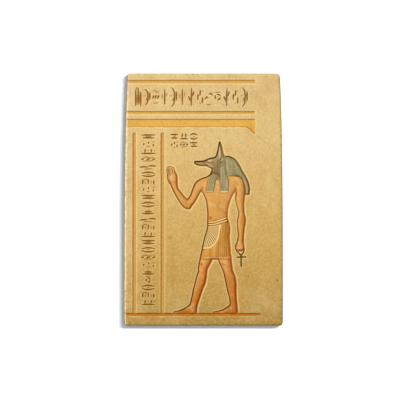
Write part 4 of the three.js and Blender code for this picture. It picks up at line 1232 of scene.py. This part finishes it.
# Its finish. The stone is warm sand, paler at the top and more ochre towards the foot. Orange and
# brown washes lie in everything that is cut, the lips are rubbed back to cream, and the figure is
# painted: brown skin, grey-green wig, dark head, ochre kilt, cream apron and belt.
SIDE_TONE = 1.0
BACK_TONE = 0.25
places = places_of(plaque.data) / MM
_, paint = relief(places[:, 0], places[:, 2])
behind = -places[:, 1] < SIDE_PLANES[0] + 0.1
side_tone = np.where(-places[:, 1] < BACK_EDGE / 2, BACK_TONE, SIDE_TONE)
for name, values in paint.items():
    if name.startswith("from_"):
        values = np.where(behind, FAR, values)
    else:
        values = np.where(behind, side_tone if name == "edge_dark" else 0, values)
    layer = plaque.data.attributes.new(name, "FLOAT", "POINT")
    layer.data.foreach_set("value", values.astype(np.float32))


def srgb(red, green, blue):
    """A paint colour, from the numbers of a colour chart, 0 to 255."""
    parts = [value / 255 for value in (red, green, blue)]
    return [v / 12.92 if v <= 0.04045 else ((v + 0.055) / 1.055) ** 2.4 for v in parts] + [1.0]


finish = bpy.data.materials.new("washed_cast_stone")
finish.use_nodes = True
tree = finish.node_tree
shader = tree.nodes["Principled BSDF"]
place = tree.nodes.new("ShaderNodeTexCoord").outputs["Object"]


def grain(scale, detail=3.0, roughness=0.55, stretch=(1, 1, 1)):
    """A cloudy pattern fixed to the stone; the scale is in clouds to the metre."""
    mapping = tree.nodes.new("ShaderNodeMapping")
    mapping.inputs["Scale"].default_value = stretch
    tree.links.new(place, mapping.inputs["Vector"])
    noise = tree.nodes.new("ShaderNodeTexNoise")
    noise.inputs["Scale"].default_value = scale
    noise.inputs["Detail"].default_value = detail
    noise.inputs["Roughness"].default_value = roughness
    tree.links.new(mapping.outputs["Vector"], noise.inputs["Vector"])
    return noise.outputs["Fac"]


def eased_node(value, low, high, to_low=0.0, to_high=1.0):
    """A value mapped softly from one range to another."""
    node = tree.nodes.new("ShaderNodeMapRange")
    node.interpolation_type = "SMOOTHSTEP"
    limits = {"From Min": low, "From Max": high, "To Min": to_low, "To Max": to_high}
    for socket, number in limits.items():
        node.inputs[socket].default_value = number
    tree.links.new(value, node.inputs["Value"])
    return node.outputs["Result"]


def maths(operation, first, second):
    """A sum of two values, each a socket or a number."""
    node = tree.nodes.new("ShaderNodeMath")
    node.operation = operation
    for socket, value in zip(node.inputs, (first, second)):
        if isinstance(value, (int, float)):
            socket.default_value = value
        else:
            tree.links.new(value, socket)
    return node.outputs["Value"]


def attribute(name):
    """A value that the mesh carries."""
    node = tree.nodes.new("ShaderNodeAttribute")
    node.attribute_name = name
    return node.outputs["Fac"]


ragged = maths("MULTIPLY", maths("SUBTRACT", grain(900, 2), 0.5), 0.7)


def within(name, inner, outer, strength=1.0):
    """How much of a paint lies at a distance from its edge: all inside inner, none past outer."""
    away = maths("ADD", attribute(f"from_{name}"), ragged)
    return eased_node(away, inner, outer, strength, 0.0)


def ring(name, inner, middle, outer, strength):
    """A line of paint around an edge, strongest at the middle distance."""
    away = maths("ADD", attribute(f"from_{name}"), ragged)
    rise = eased_node(away, inner, middle, 0.0, strength)
    return maths("MULTIPLY", rise, eased_node(away, middle, outer, 1.0, 0.0))


def tinted(under, over, share):
    """One colour laid over another; each may be a socket or a fixed colour."""
    node = tree.nodes.new("ShaderNodeMix")
    node.data_type = "RGBA"
    for index, value in ((0, share), (6, under), (7, over)):
        if isinstance(value, (int, float, list)):
            node.inputs[index].default_value = value
        else:
            tree.links.new(value, node.inputs[index])
    return node.outputs[2]


def washed(under, colour, name, strength):
    """A colour laid over another as strongly as a value that the mesh carries."""
    return tinted(under, srgb(*colour), maths("MULTIPLY", attribute(name), strength))


def flecked(under, flecks):
    """Flecks laid over a colour: each row is the colour of the flecks, the grain that they
    follow, where in it they start and are full, and their strength."""
    for colour, pattern, start, full, strength in flecks:
        flecks_here = eased_node(grain(*pattern), start, full, 0.0, strength)
        under = tinted(under, srgb(*colour), flecks_here)
    return under


def toned(value, *stops):
    """A row of colours along a value, each with its place from 0 to 1."""
    node = tree.nodes.new("ShaderNodeValToRGB")
    ramp = node.color_ramp
    while len(ramp.elements) < len(stops):
        ramp.elements.new(0.5)
    for element, (spot, colour) in zip(ramp.elements, stops):
        element.position = spot
        element.color = srgb(*colour)
    tree.links.new(value, node.inputs["Fac"])
    return node.outputs["Color"]


split = tree.nodes.new("ShaderNodeSeparateXYZ")
tree.links.new(place, split.inputs["Vector"])
up_share = maths("DIVIDE", maths("SUBTRACT", split.outputs["Z"], BOTTOM * MM), SLAB_HEIGHT * MM)

stone = toned(
    up_share,
    (0.0, (166, 129, 57)), (0.1, (186, 148, 69)), (0.3, (203, 163, 84)),
    (0.55, (217, 180, 107)), (0.75, (224, 192, 127)), (1.0, (222, 192, 133)),
)
left_share = eased_node(split.outputs["X"], -0.056, -0.076)
left_share = maths("MULTIPLY", left_share, eased_node(up_share, 0.03, 0.4, 0.0, 0.7))
stone = tinted(stone, srgb(222, 196, 142), left_share)
stone = flecked(stone, [
    ((206, 146, 66), (26, 3, 0.6, (1.3, 1, 0.7)), 0.48, 0.72, 0.34),
    ((244, 216, 156), (38, 3, 0.6, (1.2, 1, 0.8)), 0.48, 0.72, 0.22),
    ((170, 140, 84), (160, 3, 0.6), 0.46, 0.76, 0.25),
    ((238, 207, 142), (250, 3, 0.6), 0.42, 0.75, 0.2),
    ((158, 120, 60), (560, 2, 0.6), 0.42, 0.72, 0.28),
    ((210, 150, 74), (330, 2, 0.6), 0.46, 0.72, 0.22),
    ((246, 220, 160), (440, 2, 0.6), 0.42, 0.72, 0.22),
])
stone = washed(stone, (192, 130, 50), "stain", 0.6)
stone = washed(stone, (112, 80, 30), "pitted", 0.85)

# Washes in what is cut, each pooled in its lower edges, with its lips rubbed pale
cream = srgb(250, 218, 158)
stone = tinted(stone, cream, ring("figure", 0.9, 1.5, 2.6, 0.6))
deep_wash = srgb(136, 80, 8)
worn = eased_node(grain(150, 4, 0.65), 0.4, 0.8, 1.0, 0.8)
speckled = eased_node(grain(460, 3, 0.65), 0.48, 0.75)
for name, colour, deep, rubbed in (
    ("bands", srgb(214, 164, 74), 0.25, 0.4), ("cornice", srgb(228, 176, 78), 0.35, 0.4),
    ("grooves", srgb(213, 158, 70), 0.45, 0.4), ("ground", srgb(190, 110, 10), 0.05, 0.05),
):
    stone = tinted(stone, cream, ring(name, 0.0, 0.7, 1.7, rubbed))
    colour = washed(colour, (196, 124, 26), "stain", 0.7)
    stone = tinted(stone, colour, maths("MULTIPLY", within(name, -0.35, 0.3, 0.98), worn))
    stone = tinted(stone, deep_wash, maths("MULTIPLY", within(name, -0.6, 0.0, 0.35), speckled))
    stone = tinted(stone, deep_wash, ring(name, -0.9, -0.2, 0.35, deep))
stone = tinted(stone, cream, ring("sign", 0.0, 0.5, 1.3, 0.3))
stone = tinted(stone, srgb(158, 110, 34), within("mark", -0.2, 0.4, 0.75))
stone = tinted(stone, srgb(160, 116, 52), within("scratch", -0.3, 0.2, 0.35))
stone = tinted(stone, srgb(146, 95, 20), within("sign", -0.3, 0.45, 0.88))
stone = tinted(stone, cream, ring("cross", 0.0, 0.5, 1.4, 0.4))
stone = tinted(stone, srgb(88, 68, 20), within("cross", -0.2, 0.3, 0.95))

# The figure's paints
skin = toned(
    up_share,
    (0.055, (180, 113, 31)), (0.08, (194, 121, 42)), (0.19, (207, 136, 59)),
    (0.25, (226, 162, 86)), (0.42, (215, 153, 70)), (0.6, (223, 169, 95)),
)
skin = flecked(skin, [
    ((238, 190, 126), (110, 4, 0.65), 0.46, 0.72, 0.55),
    ((198, 118, 42), (140, 4, 0.65), 0.5, 0.72, 0.5),
    ((190, 112, 44), (430, 3, 0.6), 0.52, 0.76, 0.45),
])
# Painted shade on the skin's sides away from the light and in its hollows
skin = washed(skin, (188, 98, 24), "turned_away", 0.8)
head_back = eased_node(split.outputs["X"], -0.002, 0.008)
head = tinted(srgb(162, 120, 62), srgb(158, 136, 91), head_back)
head = flecked(head, [((190, 164, 120), (420, 3, 0.6), 0.5, 0.72, 0.5)])
# Painted shade on the head's side away from the light and over the neck
head = washed(head, (104, 82, 48), "turned_away", 0.85)
streaks = eased_node(grain(170, 3, 0.6, (2.8, 1, 0.12)), 0.38, 0.6)
dress = tinted(srgb(222, 167, 84), srgb(201, 136, 51), streaks)
# Painted shade on the kilt's side away from the light
dress = tinted(dress, srgb(188, 108, 32), attribute("turned_away"))
dress = flecked(dress, [((226, 172, 92), (200, 3, 0.6), 0.5, 0.75, 0.4)])
wig = toned(
    attribute("hair_tone"), (0.0, (172, 154, 104)), (0.5, (158, 150, 109)), (1.0, (165, 156, 109)),
)
wig = flecked(wig, [
    ((200, 182, 132), (300, 3, 0.6, (1.8, 1, 0.4)), 0.48, 0.7, 0.55),
    ((112, 116, 82), (360, 3, 0.6, (1.8, 1, 0.35)), 0.48, 0.7, 0.5),
])
# Painted shade on the wig's side away from the light
wig = washed(wig, (124, 108, 60), "turned_away", 0.6)
surface = stone
for name, colour in (("skin", skin), ("head", head), ("kilt", dress), ("wig", wig)):
    surface = tinted(surface, colour, within(name, -0.2, 0.25))
surface = tinted(surface, srgb(251, 214, 135), within("cream", -0.2, 0.2))
# Painted highlights on the figure, in pale cream
surface = tinted(surface, srgb(238, 202, 148), attribute("painted_highlight"))
surface = washed(surface, (118, 68, 8), "drawn_line", 0.85)

# The brown line around the figure, darker around its head. The slab's sides and back are a plain
# darker tone, its rims are darkened with dirt and painted shade, and its left edge has a painted
# highlight
contour = maths("MULTIPLY", within("figure", 0.7, 1.3, 0.88), attribute("outlined"))
contour = maths("MULTIPLY", contour, eased_node(attribute("from_figure"), -0.9, 0.3))
by_head = maths("MAXIMUM", within("head", 1.2, 1.7), within("wig", 1.2, 1.7))
surface = tinted(surface, tinted(srgb(172, 104, 12), srgb(134, 94, 26), by_head), contour)
surface = washed(surface, (126, 108, 80), "edge_dark", 0.85)
surface = washed(surface, (252, 230, 182), "edge_pale", 0.95)

tree.links.new(surface, shader.inputs["Base Color"])
tree.links.new(eased_node(grain(300, 4), 0.3, 0.7, 0.75, 0.92), shader.inputs["Roughness"])
shader.inputs["Specular IOR Level"].default_value = 0.12

bump = tree.nodes.new("ShaderNodeBump")
bump.inputs["Strength"].default_value = 0.5
bump.inputs["Distance"].default_value = 0.0004
tree.links.new(grain(1500, 5, 0.7), bump.inputs["Height"])
tree.links.new(bump.outputs["Normal"], shader.inputs["Normal"])

plaque.data.materials.append(finish)
plaque.select_set(True)
bpy.context.view_layer.objects.active = plaque
bpy.ops.object.shade_smooth_by_angle(angle=math.radians(50))
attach(plaque, "root")
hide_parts("relief_plaque")

# The wall that the plaque hangs on: plain, white and matt. It can be seen through from behind, and
# it is open where the plaque covers it, so that light falls on the plaque's back.
WALL_SIZE = 8.0
WALL_CLEARANCE = 0.0004
OPENING_INSET = 2.0

bpy.ops.object.select_all(action="DESELECT")
bpy.ops.mesh.primitive_plane_add(
    size=WALL_SIZE, location=(0, WALL_CLEARANCE, 0), rotation=(math.pi / 2, 0, 0)
)
wall = bpy.context.object
wall.name = "wall"
bpy.ops.object.transform_apply(location=True, rotation=True, scale=True)
bpy.ops.object.mode_set(mode="EDIT")
bpy.ops.mesh.select_all(action="SELECT")
bpy.ops.mesh.inset(thickness=WALL_SIZE / 4)
bpy.ops.mesh.delete(type="ONLY_FACE")
bpy.ops.object.mode_set(mode="OBJECT")
corners = places_of(wall.data)
inner = np.abs(corners[:, 0]) < WALL_SIZE / 3
across, up = np.sign(corners[inner, 0]), np.sign(corners[inner, 2])
lean = np.where(up > 0, np.where(across < 0, TOP_LEFT_LEAN, TOP_RIGHT_LEAN), 0)
corners[inner, 0] = across * (RIGHT - lean - OPENING_INSET) * MM
corners[inner, 2] = up * (TOP - OPENING_INSET) * MM
put(wall.data, corners)
paper = bpy.data.materials.new("white_wall")
paper.use_nodes = True
nodes, links = paper.node_tree.nodes, paper.node_tree.links
matt = nodes["Principled BSDF"]
matt.inputs["Base Color"].default_value = srgb(244, 250, 255)
matt.inputs["Roughness"].default_value = 0.9
either = nodes.new("ShaderNodeMixShader")
links.new(nodes.new("ShaderNodeNewGeometry").outputs["Backfacing"], either.inputs[0])
links.new(matt.outputs["BSDF"], either.inputs[1])
links.new(nodes.new("ShaderNodeBsdfTransparent").outputs["BSDF"], either.inputs[2])
links.new(either.outputs["Shader"], nodes["Material Output"].inputs["Surface"])
wall.data.materials.append(paper)

# Light and camera. A soft lamp at the upper left rakes the face. The wall has a lamp of its own
# at the upper right, so that the plaque's shadow falls to the left and below it.
CAMERA_DISTANCE = 2.6
VIEW_WIDTH = 0.4027
VIEW_CENTRE = (-0.00342, -0.00045)
SENSOR = 36.0
ROOM_LIGHT = 0.42

# Each lamp's place, width, height and power, and the one thing that it lights
LAMPS = {
    "key_lamp": ((-1.5, -2.1, 1.5), 0.6, 0.6, 79.0, plaque),
    "wall_lamp": ((0.84, -2.74, 0.6), 0.9, 0.3, 79.5, wall),
    "wall_fill": ((0, -2.9, 0), 1.0, 1.0, 8.0, wall),
}

scene = bpy.context.scene
scene.view_settings.view_transform = "Standard"
lens = bpy.data.cameras.new("camera")
lens.sensor_width = SENSOR
lens.lens = SENSOR * CAMERA_DISTANCE / VIEW_WIDTH
camera = bpy.data.objects.new("camera", lens)
camera.location = (VIEW_CENTRE[0], -FACE * MM - CAMERA_DISTANCE, VIEW_CENTRE[1])
camera.rotation_euler = (math.pi / 2, 0, 0)
scene.collection.objects.link(camera)
scene.camera = camera

for name, (spot, width, height, power, lit_thing) in LAMPS.items():
    light = bpy.data.lights.new(name, "AREA")
    light.shape = "RECTANGLE"
    light.size, light.size_y = width, height
    light.energy = power
    lamp = bpy.data.objects.new(name, light)
    lamp.location = spot
    over, out, up = spot
    tilt, turn = math.atan2(math.hypot(over, out), up), math.atan2(-out, -over) - math.pi / 2
    lamp.rotation_euler = (tilt, 0, turn)
    lit = bpy.data.collections.new(f"lit_by_{name}")
    lit.objects.link(lit_thing)
    lamp.light_linking.receiver_collection = lit
    scene.collection.objects.link(lamp)

world = bpy.data.worlds.new("soft_room")
world.use_nodes = True
background = world.node_tree.nodes["Background"]
background.inputs["Color"].default_value = (1, 1, 1, 1)
background.inputs["Strength"].default_value = ROOM_LIGHT
scene.world = world
